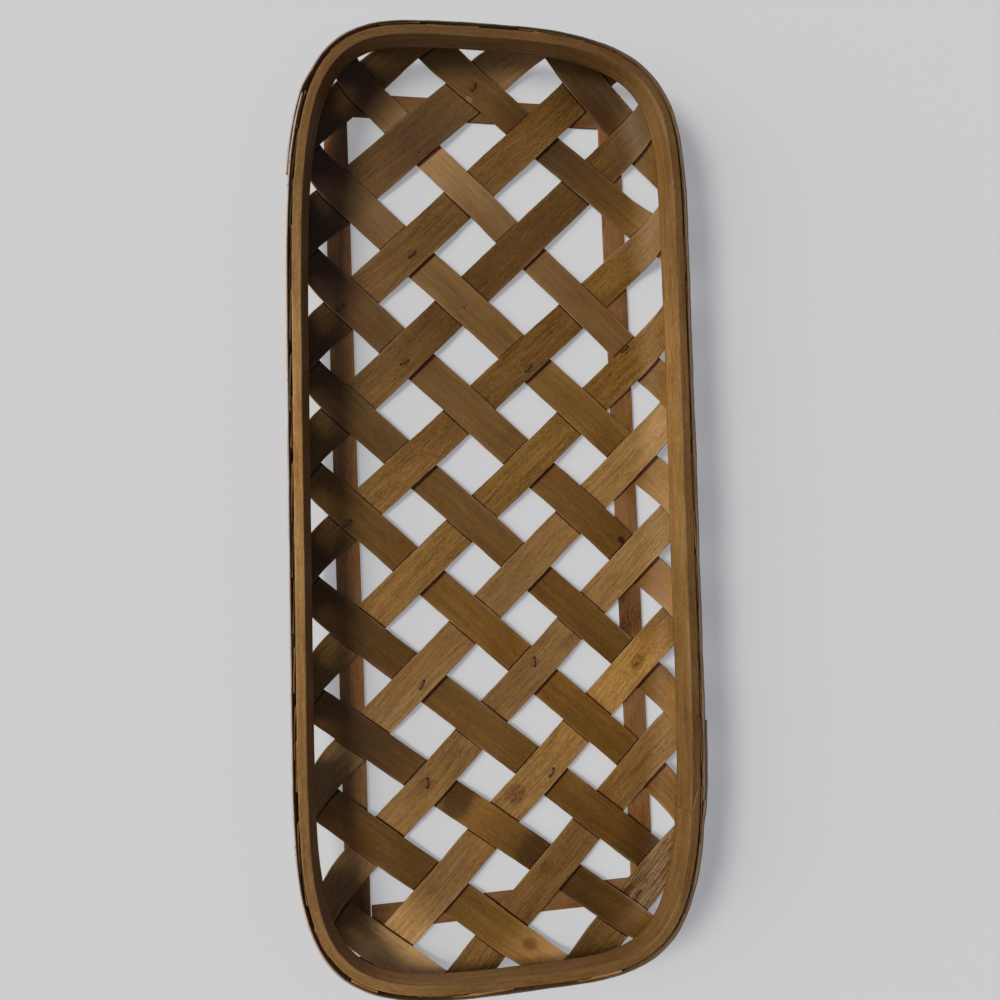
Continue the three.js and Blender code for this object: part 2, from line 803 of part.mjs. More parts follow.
WEAVE_STAPLES.forEach(({ on, by, along, aside, turn, into }, index) => {
  const splint = splintNamed(on);
  const middle = meetingOf(splint, by);
  middle.x += splint.up.y * along + splint.up.x * aside;
  middle.y += -splint.up.x * along + splint.up.y * aside;
  const arm = new THREE.Vector2(STAPLE_CROWN / 2, 0).rotateAround(new THREE.Vector2(), radians(turn));
  const z = GAP + Math.max(...[-1, 0, 1].map((end) => topAt(middle.clone().addScaledVector(arm, end))));
  const frame = new THREE.Matrix4().makeRotationX(Math.PI / 2);
  frame.premultiply(new THREE.Matrix4().makeRotationZ(radians(turn)));
  frame.setPosition(middle.x, middle.y, z);
  const lowest = into ? STAPLE_SLAT_COVER : WEAVE_BOTTOM - GAP - STAPLE_WIRE;
  driveStaple(numbered("weave_staple", index + 1), frame, z - lowest, into ? 0 : STAPLE_FOOT, 0);
});

function driveRimStaple(name, at) {
  const facet = facets[Math.floor(at)];
  const lifts = [farBand, nearBand].map((band) => {
    const here = at >= band.start ? at : at + round;
    return here < band.end ? bandLift(band, here) : 0;
  });
  const outside = CHANNEL + BAND_THICKNESS + Math.max(...lifts);
  const point = ringPoint(at, DEPTH - RIM_STAPLE_DROP, outside);
  const up = new THREE.Vector3(facet.out.x, facet.out.y, -Math.tan(facet.flare)).normalize();
  const along = new THREE.Vector3(facet.along.x, facet.along.y, 0);
  const side = new THREE.Vector3().crossVectors(along, up);
  const frame = new THREE.Matrix4().makeBasis(along, up, side);
  frame.setPosition(point.addScaledVector(up, GAP));
  const depth = outside + CHANNEL + GAP + STAPLE_HOOP_DEPTH;
  driveStaple(name, frame, depth, 0, RIM_STAPLE_DROP);
}

function placeOnEnd(end, x) {
  // the place round the outline where the far (+1) or near (-1) end reaches this x
  const index = facets.findIndex(({ from, to }) => {
    const between = (from.x - x) * (to.x - x) <= 0;
    return between && Math.sign(from.y) === end;
  });
  const { from, to } = facets[index];
  return index + (x - from.x) / (to.x - from.x);
}

function flatAt(at, z) {
  // the point of the flat pattern that lies on the upper wall at this place and height
  const index = Math.floor(at);
  const v = (z - BEND_TOP) / (folds[folds.length - 1] - BEND_TOP);
  const corner = (k) => {
    const [low, high] = foldCorners[k % facets.length].slice(-2);
    return low.flat.clone().lerp(high.flat, v);
  };
  return corner(index).lerp(corner(index + 1), at - index);
}

function clearanceAt(at) {
  // how far a staple's legs, and the splits from them to the mouth, keep from the splints' edges
  const { along } = facets[Math.floor(at)];
  const distances = [];
  for (const side of [-1, 1]) {
    const aside = (side * (STAPLE_CROWN - STAPLE_WIRE)) / 2;
    const heights = [DEPTH - RIM_STAPLE_DROP, DEPTH];
    const [leg, end] = heights.map((z) => flatAt(at, z).addScaledVector(along, aside));
    for (const { up, middle, half } of [...rising, ...falling]) {
      for (const edge of [middle - half, middle + half]) {
        const legSide = up.dot(leg) - edge;
        const endSide = up.dot(end) - edge;
        distances.push(legSide * endSide > 0 ? Math.min(Math.abs(legSide), Math.abs(endSide)) : 0);
      }
    }
  }
  return Math.min(...distances);
}

function driveNear(name, place, wish) {
  // the clearest place within the shift: "place" turns a length along the rim into a place round it
  let best = place(wish);
  for (let shift = 1; shift <= RIM_STAPLE_SHIFT; shift += 1) {
    for (const at of [place(wish - shift), place(wish + shift)]) {
      best = clearanceAt(at) > clearanceAt(best) ? at : best;
    }
  }
  driveRimStaple(name, best);
}

for (let step = 0; step < RIM_STAPLES_LEFT; step += 1) {
  const y = FAR_BAND_END_Y + RIM_STAPLE_FROM_BAND_END - step * RIM_STAPLE_STEP;
  driveNear(numbered("left_rim_staple", step + 1), (wish) => placeOnSide(-1, wish), y);
}
for (let step = 0; step < RIM_STAPLES_RIGHT; step += 1) {
  const y = NEAR_BAND_END_Y - RIM_STAPLE_FROM_BAND_END + step * RIM_STAPLE_STEP;
  driveNear(numbered("right_rim_staple", step + 1), (wish) => placeOnSide(1, wish), y);
}
for (const [name, end] of [["far_rim_staple", 1], ["near_rim_staple", -1]]) {
  driveNear(numbered(name, 1), (wish) => placeOnEnd(end, wish), -RIM_STAPLES_END_X);
  driveNear(numbered(name, 2), (wish) => placeOnEnd(end, wish), RIM_STAPLES_END_X);
}

for (const [name, piece] of pieces) {
  if (piece.cut) {
    piece.geometry = geometryOf(solids.get(name));
  }
}
staples.forEach(({ name, geometry }) => addPiece(name, geometry, STAPLE_FINISH));

// Assembly

const basket = new THREE.Group();
for (const [name, { geometry, finish }] of pieces) {
  const mesh = new THREE.Mesh(geometry, new THREE.MeshStandardMaterial(finish));
  mesh.name = name;
  basket.add(mesh);
}
// the bands' laps and the staples make one side reach a little further: the origin goes midway
const reachOf = new THREE.Box3().setFromObject(basket);
basket.children.forEach((mesh) => {
  mesh.position.x = -(reachOf.min.x + reachOf.max.x) / 2;
  mesh.position.y = -(reachOf.min.y + reachOf.max.y) / 2;
});

export default basket;
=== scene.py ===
"""Tobacco basket: its looks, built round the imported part. Metres, +Z up, mouth upwards."""

import math

import bpy
import numpy as np
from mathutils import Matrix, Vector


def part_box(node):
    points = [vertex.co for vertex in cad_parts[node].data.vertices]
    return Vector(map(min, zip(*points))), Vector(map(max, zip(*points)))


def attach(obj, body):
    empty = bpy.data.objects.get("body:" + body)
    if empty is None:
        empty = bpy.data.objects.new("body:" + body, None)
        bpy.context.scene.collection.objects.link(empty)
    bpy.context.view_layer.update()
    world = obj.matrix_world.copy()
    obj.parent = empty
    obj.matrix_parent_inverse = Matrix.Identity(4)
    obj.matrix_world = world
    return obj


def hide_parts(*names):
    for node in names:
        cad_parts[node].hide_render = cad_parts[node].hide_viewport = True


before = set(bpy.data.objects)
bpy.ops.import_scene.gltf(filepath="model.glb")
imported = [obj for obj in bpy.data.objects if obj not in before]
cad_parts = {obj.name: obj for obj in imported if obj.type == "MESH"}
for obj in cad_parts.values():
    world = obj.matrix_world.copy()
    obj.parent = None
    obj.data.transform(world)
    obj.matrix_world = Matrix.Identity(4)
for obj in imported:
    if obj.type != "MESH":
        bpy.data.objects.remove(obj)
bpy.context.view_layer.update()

# Splints
# Twenty-two strips of thin sawn wood, stained brown, woven on the bias with open diamonds between
# them. They lie flat on the bottom and are bent up all round, with their ends held in the rim.

MM = 0.001
LENGTH = 912.0
WIDTH = 393.0
DEPTH = 60.0
RIM_SIDE = 3.95
RACK = 6.5
# each corner by its side and its end, with the powers of its curve: how flat the end runs into it, and
# how straight the side
CORNERS = {(1, 1): (2.7, 10.5), (-1, 1): (4.4, 6.1), (-1, -1): (3.4, 8.3), (1, -1): (4.6, 6.3)}
CORNER_POINTS = 6001
OUTLINE_POINTS = 480
SIDE_FLARE = 16.0
END_FLARE = 4.0
WEAVE_MIDDLE = 4.95
BEND_HEIGHT = 23.0
LAYER = 0.9
CROSSING_MARGIN = 0.6
SPLINT_THICKNESS = 1.5
SPLINT_EDGE = 0.3
SPLINT_SHOULDER = 1.0
SPLINT_STEP = 2.6
SPLINT_WIDTH = 35.0
SPLINT_LEAN = 43.0
OUTERMOST = 5
SPLINT_PITCH = (LENGTH / 2 + 66) / OUTERMOST
# the ends are trimmed a little below the mouth, each to its own height, and the saw wandered: waves
# by their length and height
TRIM_DEPTH = 1.2
TRIM_VARIES = 1.6
TRIM_WAVES = [(31, 0.35), (9, 0.25), (3.1, 0.2)]
EDGE_WAVES = [(170, 0.25), (61, 0.16), (17, 0.07)]
FACE_WAVES = [(47, 0.03), (23, 0.02)]
CUP = 0.07
WORN_WIDTH = 1.6
# how far the painted shadow, with some stain, reaches beside crossing strips
SHADOW_GRIME_WIDTH = 5.2
# by number from the middle: what the weaver's hand changed, as (place, lean, width), then its tone,
# partly the stain it took and partly painted shade and light: on the left wall, at the left, in the middle,
# at the right and on the right wall, and how much painted sheen hazes it at the left, at the right and on the
# right wall
RISING_HAND = {
    5: (-2, 0, 0, -2.5, -1.8, -1.7, -0.4, -0.2, 0.4, 0.3, 0.3),
    4: (0, -1.7, 8, -2.8, -0.5, -1.6, -0.7, 0.7, 0.5, 0.5, 0.5),
    3: (3, 0, 2, -2.3, -0.4, -0.7, -0.5, -1.9, 0.5, 0.1, 0.1),
    2: (9, 0, 2, -0.9, -0.2, -1.4, -1, -1.4, 0.3, 0.1, 0.8),
    1: (0, -1.7, 0, -2.1, 0.4, -0.7, -0.4, -0.5, 0.3, 0, 0.8),
    0: (-2, -1, -1, -0.6, 0.4, -0.2, -0.2, -0.3, 0.3, 0, 0.1),
    -1: (5, 0, 0, 0.4, 0.5, -0.2, 0.3, 0.1, 0.5, 0.3, 0.5),
    -2: (4, 1, -1, 0.4, 0.4, -0.3, 0.5, -0.5, 0.4, 0.4, 0.4),
    -3: (4, 1.5, 0, 1.9, -0.1, 0.4, 0.8, -1.1, 0.5, 0.1, 0.1),
    -4: (4, 2, 0, 0, -0.4, -0.4, -0.2, -0.6, 0.2, 0.2, 0.2),
    -5: (-9, 2, 0, -1.4, -0.5, -1.3, -1.4, -1, 0.1, 0.1, 0.1),
}
FALLING_HAND = {
    5: (39, 6, 2, -1.1, -2.1, -2, -0.9, -0.7, 0.5, 0.1, 0.1),
    4: (0, -3.6, -1, -0.9, -0.7, -2.1, -0.7, 0.4, 0.5, 0.2, 0.2),
    3: (-17, 1.6, -3, -2.1, 0.8, -0.5, -0.6, -0.1, 1, 0.3, 0.1),
    2: (-31, 0, 1, -2.7, -0.4, -0.2, -0.3, 0.4, 0.9, 0, 0.4),
    1: (-32, 0, 1, -2.7, -0.9, -0.4, -0.8, 0, 0.7, 0, 0.9),
    0: (-37, 0, -1, -1.9, -1, -0.6, -0.8, 0.1, 0.5, 0, 0.2),
    -1: (-32, 0, -1, -0.2, -0.5, -0.2, -0.5, -0.4, 0.2, 0, 0.1),
    -2: (-26, -3, 0, -1.7, -1.2, -0.4, -0.8, -3, 0.3, 0, 0),
    -3: (-11, -5.6, -3, -0.7, -1.7, 0.2, -1.8, -0.8, 0.4, 0, 0.1),
    -4: (-4, -3.7, 0, 0.4, -0.7, -0.9, 0, 1.8, 0.2, 0.1, 0.5),
    -5: (3, -4, 0, -1.3, 0.1, 1.5, 2, 1.5, 0.4, 0.5, 0.5),
}
# how far in from a strip's ends the tones for its walls and sides lie, less on a strip under SHORT_STRIP
LEFT_SHADE_AND_STAIN = (70.0, 130.0)
RIGHT_SHADE_AND_STAIN = (110.0, 45.0)
SHORT_STRIP = 320.0
# the share of its tones and sheen, with their painted shade and light, that a strip's lower face gets
LOWER_FACE_SHADE_SHARE = 0.3
CUT_END_STAIN = 0.35
# the grain is laid out so that no two strips show the same piece of it
FIBRE_SHIFTS = (2.1, 0.61, 0.37)
# marks in the wood, by strip: how far along and aside their middle is, their half length and half
# width, and their kind: below 0 a pale scuff, up to 0.5 a crowd of flecks, up to 1 a dark knot or split
MARKS = {
    ("rising", -1): [(-60, 9, 15, 8, 0.2)],
    ("rising", -2): [(-45, -8, 18, 8, 0.25)],
    ("rising", -3): [(-192, 4, 13, 12, 0.4), (-15, -1, 13, 10, 0.4)],
    ("rising", -4): [(-226, 8, 12, 6, 0.3)],
    ("rising", -5): [
        (-184, -1, 9, 2.4, 1), (-171, 2, 3, 2.6, 1), (-155, -17, 6, 2.6, 1), (-287, 7, 5, 3, -0.8),
    ],
    ("falling", 4): [(-266, -2, 7, 1, -1), (-262, -15, 5, 4, -0.7)],
    ("falling", 2): [(-145, -3, 1.5, 1.2, 1)],
    ("falling", 1): [(129, 5, 6, 4, 0.9)],
    ("falling", -2): [(0, 17, 5, 2, 0.9)],
    ("falling", -3): [(142, 0, 22, 34, 0.78), (232, 0, 18, 30, 0.7)],
    ("falling", -4): [(256, 18, 5, 1.4, 0.9), (292, 5, 10, 8, 0.7), (323, -9, 7, 3, 0.8)],
}
# the pits where a staple was driven in are a kind of their own, half a crown to each side of its middle
STAPLE_PITS = 2.0
STAPLE_CROWN = 8.4
# how each staple in the weave lies, in degrees from the right, anticlockwise
WEAVE_STAPLE_TURNS = [59, 43, 39, 28, 45, 43, 39, 92, 62, 88, 63]
TORN_SPLINT = "rising_splint_11"
TORN_AT = -150.0
TORN_REACH = 75.0


def rim_outline():
    # the middle of the woven wall at the mouth, anticlockwise, at even steps
    turn = np.linspace(0, math.pi / 2, CORNER_POINTS)
    parts = []
    for (across, along), (end, side) in CORNERS.items():
        x = across * (WIDTH / 2 - RIM_SIDE) * np.cos(turn) ** (2 / end)
        y = along * (LENGTH / 2 - RIM_SIDE) * np.sin(turn) ** (2 / side)
        points = np.stack([x + RACK * y / (LENGTH / 2 - RIM_SIDE), y], 1)
        parts.append(points[:-1] if across * along > 0 else points[::-1][:-1])
    points = np.concatenate(parts)
    points = np.concatenate([points, points[:1]])
    run = np.concatenate([[0], np.cumsum(np.hypot(*np.diff(points, axis=0).T))])
    even = np.linspace(0, run[-1], OUTLINE_POINTS, endpoint=False)
    return np.stack([np.interp(even, run, points[:, 0]), np.interp(even, run, points[:, 1])], 1), run[-1]


rim, rim_length = rim_outline()
rim_along = np.roll(rim, -1, 0) - np.roll(rim, 1, 0)
rim_along = sum(np.roll(rim_along, k, 0) for k in range(-2, 3))
rim_along /= np.linalg.norm(rim_along, axis=1)[:, None]
rim_out = np.stack([rim_along[:, 1], -rim_along[:, 0]], 1)


def flare_of(out):
    return np.radians(END_FLARE + (SIDE_FLARE - END_FLARE) * out[..., 0] ** 2)


def run_of(flare):
    # how far the wall reaches out from the start of the bend to the mouth
    radius = BEND_HEIGHT / (1 - np.sin(flare))
    return radius * np.cos(flare) + (DEPTH - WEAVE_MIDDLE - BEND_HEIGHT) * np.tan(flare)


def eased(share):
    return share * share * (3 - 2 * share)


# the wall as facets, one from each point of the outline to the next
facet_out = rim_out + np.roll(rim_out, -1, 0)
facet_out /= np.linalg.norm(facet_out, axis=1)[:, None]
facet_along = np.stack([-facet_out[:, 1], facet_out[:, 0]], 1)
facet_start = (facet_out * (rim + np.roll(rim, -1, 0)) / 2).sum(1) - run_of(flare_of(facet_out))
rim_run = run_of(flare_of(rim_out))
FACET_TRIES = 8
FACET_LEAP = 60


def rim_between(here, share):
    # the rim's place and its outward way, at a share of the way from one point of the outline to the next
    after = (here + 1) % OUTLINE_POINTS
    return [line[here] * (1 - share) + line[after] * share for line in (rim, rim_out)]


def bend_up(flat):
    # from the flat pattern on the bench to the tray: the place of each point and which way is up there
    here = (flat @ facet_out.T - facet_start).argmax(1)
    for _ in range(FACET_TRIES):
        # along the straight sides the facets are all but parallel, so the right one is a few steps away
        after = (here + 1) % OUTLINE_POINTS
        t = (flat * facet_out[here]).sum(1) - facet_start[here]
        a = rim[here] + rim_out[here] * (t - rim_run[here])[:, None]
        b = rim[after] + rim_out[after] * (t - rim_run[after])[:, None]
        along = facet_along[here]
        share = ((flat - a) * along).sum(1) / ((b - a) * along).sum(1)
        steps = np.where(t > 0, np.floor(np.clip(share, -FACET_LEAP, FACET_LEAP)), 0).astype(int)
        if not steps.any():
            break
        here = (here + steps) % OUTLINE_POINTS
    on_rim, out = rim_between(here, share.clip(0, 1)[:, None])
    flare = flare_of(out)
    radius = BEND_HEIGHT / (1 - np.sin(flare))
    arc = radius * (math.pi / 2 - flare)
    turned = np.clip(t / radius, 0, math.pi / 2 - flare)
    wall = np.maximum(t - arc, 0)
    z = WEAVE_MIDDLE + radius * (1 - np.cos(turned)) + wall * np.cos(flare)
    inward = run_of(flare) - radius * np.sin(turned) - wall * np.sin(flare)
    place = np.where((t > 0)[:, None], on_rim - out * inward[:, None], flat)
    up = np.concatenate([-out * np.sin(turned)[:, None], np.cos(turned)[:, None]], 1)
    return np.concatenate([place, z[:, None]], 1), up


def make_strip(family, number):
    place, lean, width, *tones_and_sheens = (RISING_HAND if family == "rising" else FALLING_HAND)[number]
    tilt = math.radians(SPLINT_LEAN + lean) * (1 if family == "rising" else -1)
    up = np.array([-math.sin(tilt), math.cos(tilt)])
    return {
        "family": family,
        "number": number,
        "node": f"{family}_splint_{OUTERMOST + 1 - number:02d}",
        "up": up,
        "along": np.array([up[1], -up[0]]),
        "middle": up[1] * (number * SPLINT_PITCH + place),
        "half": (SPLINT_WIDTH + width) / 2,
        "tones": tones_and_sheens[:5],
        "sheen_hazes": tones_and_sheens[5:],
    }


# the basket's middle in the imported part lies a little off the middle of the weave
lows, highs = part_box("left_slat")[0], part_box("right_slat")[1]
middle_shift = np.array([(lows[0] + highs[0]) / 2, (lows[1] + highs[1]) / 2, 0]) / MM
strips = {
    family: [make_strip(family, number) for number in range(OUTERMOST, -OUTERMOST - 1, -1)]
    for family in ("rising", "falling")
}


def on_strip(strip, s, w):
    # the flat places of points that lie s along a strip and w to the side of its middle line
    return strip["middle"] * strip["up"] + s[..., None] * strip["along"] + w[..., None] * strip["up"]


def lies_over(strip, other):
    # plain weave: each strip goes over one and under the next
    rising_over = (strip["number"] + other["number"]) % 2 != 0
    return rising_over == (strip["family"] == "rising")


def layer_at(strip, others, flat):
    # +1 over, -1 under, easing from one to the other in the open stretch between two crossings
    heights = np.stack([flat @ other["up"] - other["middle"] for other in others])
    sides = np.array([1.0 if lies_over(strip, other) else -1.0 for other in others])
    halves = np.array([other["half"] + CROSSING_MARGIN for other in others])
    below = np.where((heights > 0).any(0), (heights > 0).argmax(0), len(others))
    above = np.clip(below - 1, 0, len(others) - 1)
    below = np.clip(below, 0, len(others) - 1)
    each = np.arange(flat.shape[0])
    past = np.maximum(-heights[above, each] - halves[above], 0)
    before = np.maximum(heights[below, each] - halves[below], 0)
    share = eased(past / np.maximum(past + before, 1e-6))
    return np.where(above == below, sides[above], sides[above] * (1 - share) + sides[below] * share)


def shadow_grime_at(strip, others, flat, seen_from_above):
    # painted shadow, with some stain, on a strip's upper face beside the strips that lie over it, and on its
    # lower
    # face beside those under it: 1 at their edges, 0 at the width of the shadow, and far below 0 away from
    # them
    grime = np.full(flat.shape[0], -50.0)
    for other in others:
        if lies_over(strip, other) == seen_from_above:
            continue
        height = flat @ other["up"] - other["middle"]
        # the painted shadow is broad on the low side of the rising strips, away from the light, and thin on
        # their high side
        share = 0.4 if other["family"] == "falling" else np.where(height < 0, 1.0, 0.35)
        grime = np.maximum(grime, 1 - (np.abs(height) - other["half"]) / (SHADOW_GRIME_WIDTH * share))
    return grime


def pattern_middle(node):
    # the middle of a solid's box, seen from above, in the flat pattern
    low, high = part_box(node)
    return (np.array(low[:2]) + high[:2]) / 2 / MM - middle_shift[:2]


def marks_on(strip):
    # each mark as its middle, the way it lies, its half length and half width, and its kind
    for along, aside, length, width, kind in MARKS.get((strip["family"], strip["number"]), []):
        middle = strip["along"] * along + strip["up"] * (strip["middle"] + aside)
        yield middle, strip["along"], length, width, kind
    for index, turn in enumerate(WEAVE_STAPLE_TURNS):
        way = np.array([math.cos(math.radians(turn)), math.sin(math.radians(turn))])
        middle = pattern_middle(f"weave_staple_{index + 1:02d}")
        yield middle, way, STAPLE_CROWN / 2, STAPLE_CROWN / 2, STAPLE_PITS


def mark_at(marks, flat):
    # where each point lies in the mark that it is near, in half lengths and half widths, and the kind
    far_off, margin = 9.0, 5
    result = np.tile([far_off, far_off, 0.0], (len(flat), 1))
    for middle, way, length, width, kind in marks:
        x = (flat - middle) @ way
        y = (flat - middle) @ np.array([-way[1], way[0]])
        near = (np.abs(x) < 1.5 * length + margin) & (np.abs(y) < 1.5 * width + margin)
        result[near] = np.stack([x[near] / length, y[near] / width, np.full(near.sum(), kind)], 1)
    return result


def wander(rng, s, waves):
    # a slow random curve: the sum of a few waves, each with a length and a height
    return sum(height * np.sin(s * 2 * math.pi / length + rng.uniform(0, 6.28)) for length, height in waves)


def placed(name, data):
    thing = bpy.data.objects.new(name, data)
    bpy.context.scene.collection.objects.link(thing)
    return thing


def give(mesh, key, values):
    # a value or a vector for each point of the mesh
    vectors = values.ndim == 2
    attribute = mesh.attributes.new(key, "FLOAT_VECTOR" if vectors else "FLOAT", "POINT")
    attribute.data.foreach_set("vector" if vectors else "value", values.ravel().astype(np.float32))


def closed_mesh(name, rings, attributes, material):
    # a closed skin over rings of points (station, point round, xyz) in mm, with flat ends
    count, around = rings.shape[:2]
    points = rings.reshape(-1, 3) * MM
    starts, column = np.arange(count - 1)[:, None] * around, np.arange(around)[None]
    first, second = (starts + column).ravel(), (starts + (column + 1) % around).ravel()
    faces = np.stack([first, second, second + around, first + around], 1)
    a, b, c, d = (points[faces[:, k]] for k in range(4))
    caps = [np.arange(around)[::-1], np.arange(around) + around * (count - 1)]
    if (a * np.cross(b, c)).sum() + (a * np.cross(c, d)).sum() < 0:
        faces = faces[:, ::-1]
        caps = [cap[::-1] for cap in caps]
    mesh = bpy.data.meshes.new(name)
    mesh.from_pydata(points.tolist(), [], faces.tolist() + [cap.tolist() for cap in caps])
    smooth = np.ones(len(mesh.polygons), bool)
    smooth[-2:] = False
    mesh.polygons.foreach_set("use_smooth", smooth)
    for key, values in attributes.items():
        give(mesh, key, values)
    mesh.materials.append(material)
    return placed(name, mesh)


class Nodes:
    """Places and joins nodes. A value is a number, a colour or another node's socket."""

    def __init__(self, tree):
        self.tree = tree

    def add(self, kind, settings=None, **inputs):
        node = self.tree.nodes.new(kind)
        for key, value in (settings or {}).items():
            setattr(node, key, value)
        self.fill(node, **inputs)
        return node

    def fill(self, node, **inputs):
        for key, value in inputs.items():
            self.put(node, key.replace("_", " "), value)

    def first(self, kind, settings=None, **inputs):
        return self.add(kind, settings, **inputs).outputs[0]

    def put(self, node, key, value):
        # an input goes by its name, or by i and its number
        socket = node.inputs[int(key[1:])] if key[0] == "i" and key[1:].isdigit() else node.inputs[key]
        if isinstance(value, bpy.types.NodeSocket):
            self.tree.links.new(value, socket)
        else:
            socket.default_value = value

    def math(self, operation, a, b=0.0, c=0.0, clamp=False):
        return self.first("ShaderNodeMath", {"operation": operation, "use_clamp": clamp}, i0=a, i1=b, i2=c)

    def plus(self, a, b, clamp=False):
        return self.math("ADD", a, b, clamp=clamp)

    def times(self, a, b, clamp=False):
        return self.math("MULTIPLY", a, b, clamp=clamp)

    def scaled(self, value, factor, start, clamp=False):
        return self.math("MULTIPLY_ADD", value, factor, start, clamp=clamp)

    def size(self, value):
        return self.math("ABSOLUTE", value)

    def vector(self, **parts):
        return self.first("ShaderNodeCombineXYZ", **parts)

    def length(self, x, y):
        node = self.add("ShaderNodeVectorMath", {"operation": "LENGTH"}, i0=self.vector(X=x, Y=y))
        return node.outputs["Value"]

    def blend(self, factor, a, b, way="MIX"):
        node = self.add("ShaderNodeMix", {"data_type": "RGBA", "blend_type": way}, i0=factor, i6=a, i7=b)
        return node.outputs[2]

    def noise(self, vector, detail=2.0, roughness=0.5):
        return self.first("ShaderNodeTexNoise", Vector=vector, Scale=1.0, Detail=detail, Roughness=roughness)

    def grain(self, vector, scale, detail=2.0, roughness=0.5, shift=(0, 0, 0)):
        # noise that is stretched along the wood: scale is how fine it is along, across and through it
        stretched = self.first("ShaderNodeMapping", Vector=vector, Scale=scale, Location=shift)
        return self.noise(stretched, detail, roughness)

    def between(self, value, low, high, to_low=0.0, to_high=1.0):
        smooth = {"interpolation_type": "SMOOTHSTEP"}
        return self.first("ShaderNodeMapRange", smooth, i0=value, i1=low, i2=high, i3=to_low, i4=to_high)

    def until(self, value, low, high):
        return self.between(value, low, high, 1.0, 0.0)


def new_tree(name, kind, inputs, outputs):
    # a node tree with these sockets: the tree, what places its nodes, what it is given, and its output
    tree = bpy.data.node_groups.new(name, kind)
    for label, socket_kind, value in inputs:
        socket = tree.interface.new_socket(label, in_out="INPUT", socket_type="NodeSocket" + socket_kind)
        if value is not None:
            socket.default_value = value
    for label, socket_kind in outputs:
        tree.interface.new_socket(label, in_out="OUTPUT", socket_type="NodeSocket" + socket_kind)
    nodes = Nodes(tree)
    return tree, nodes, nodes.add("NodeGroupInput").outputs, nodes.add("NodeGroupOutput")


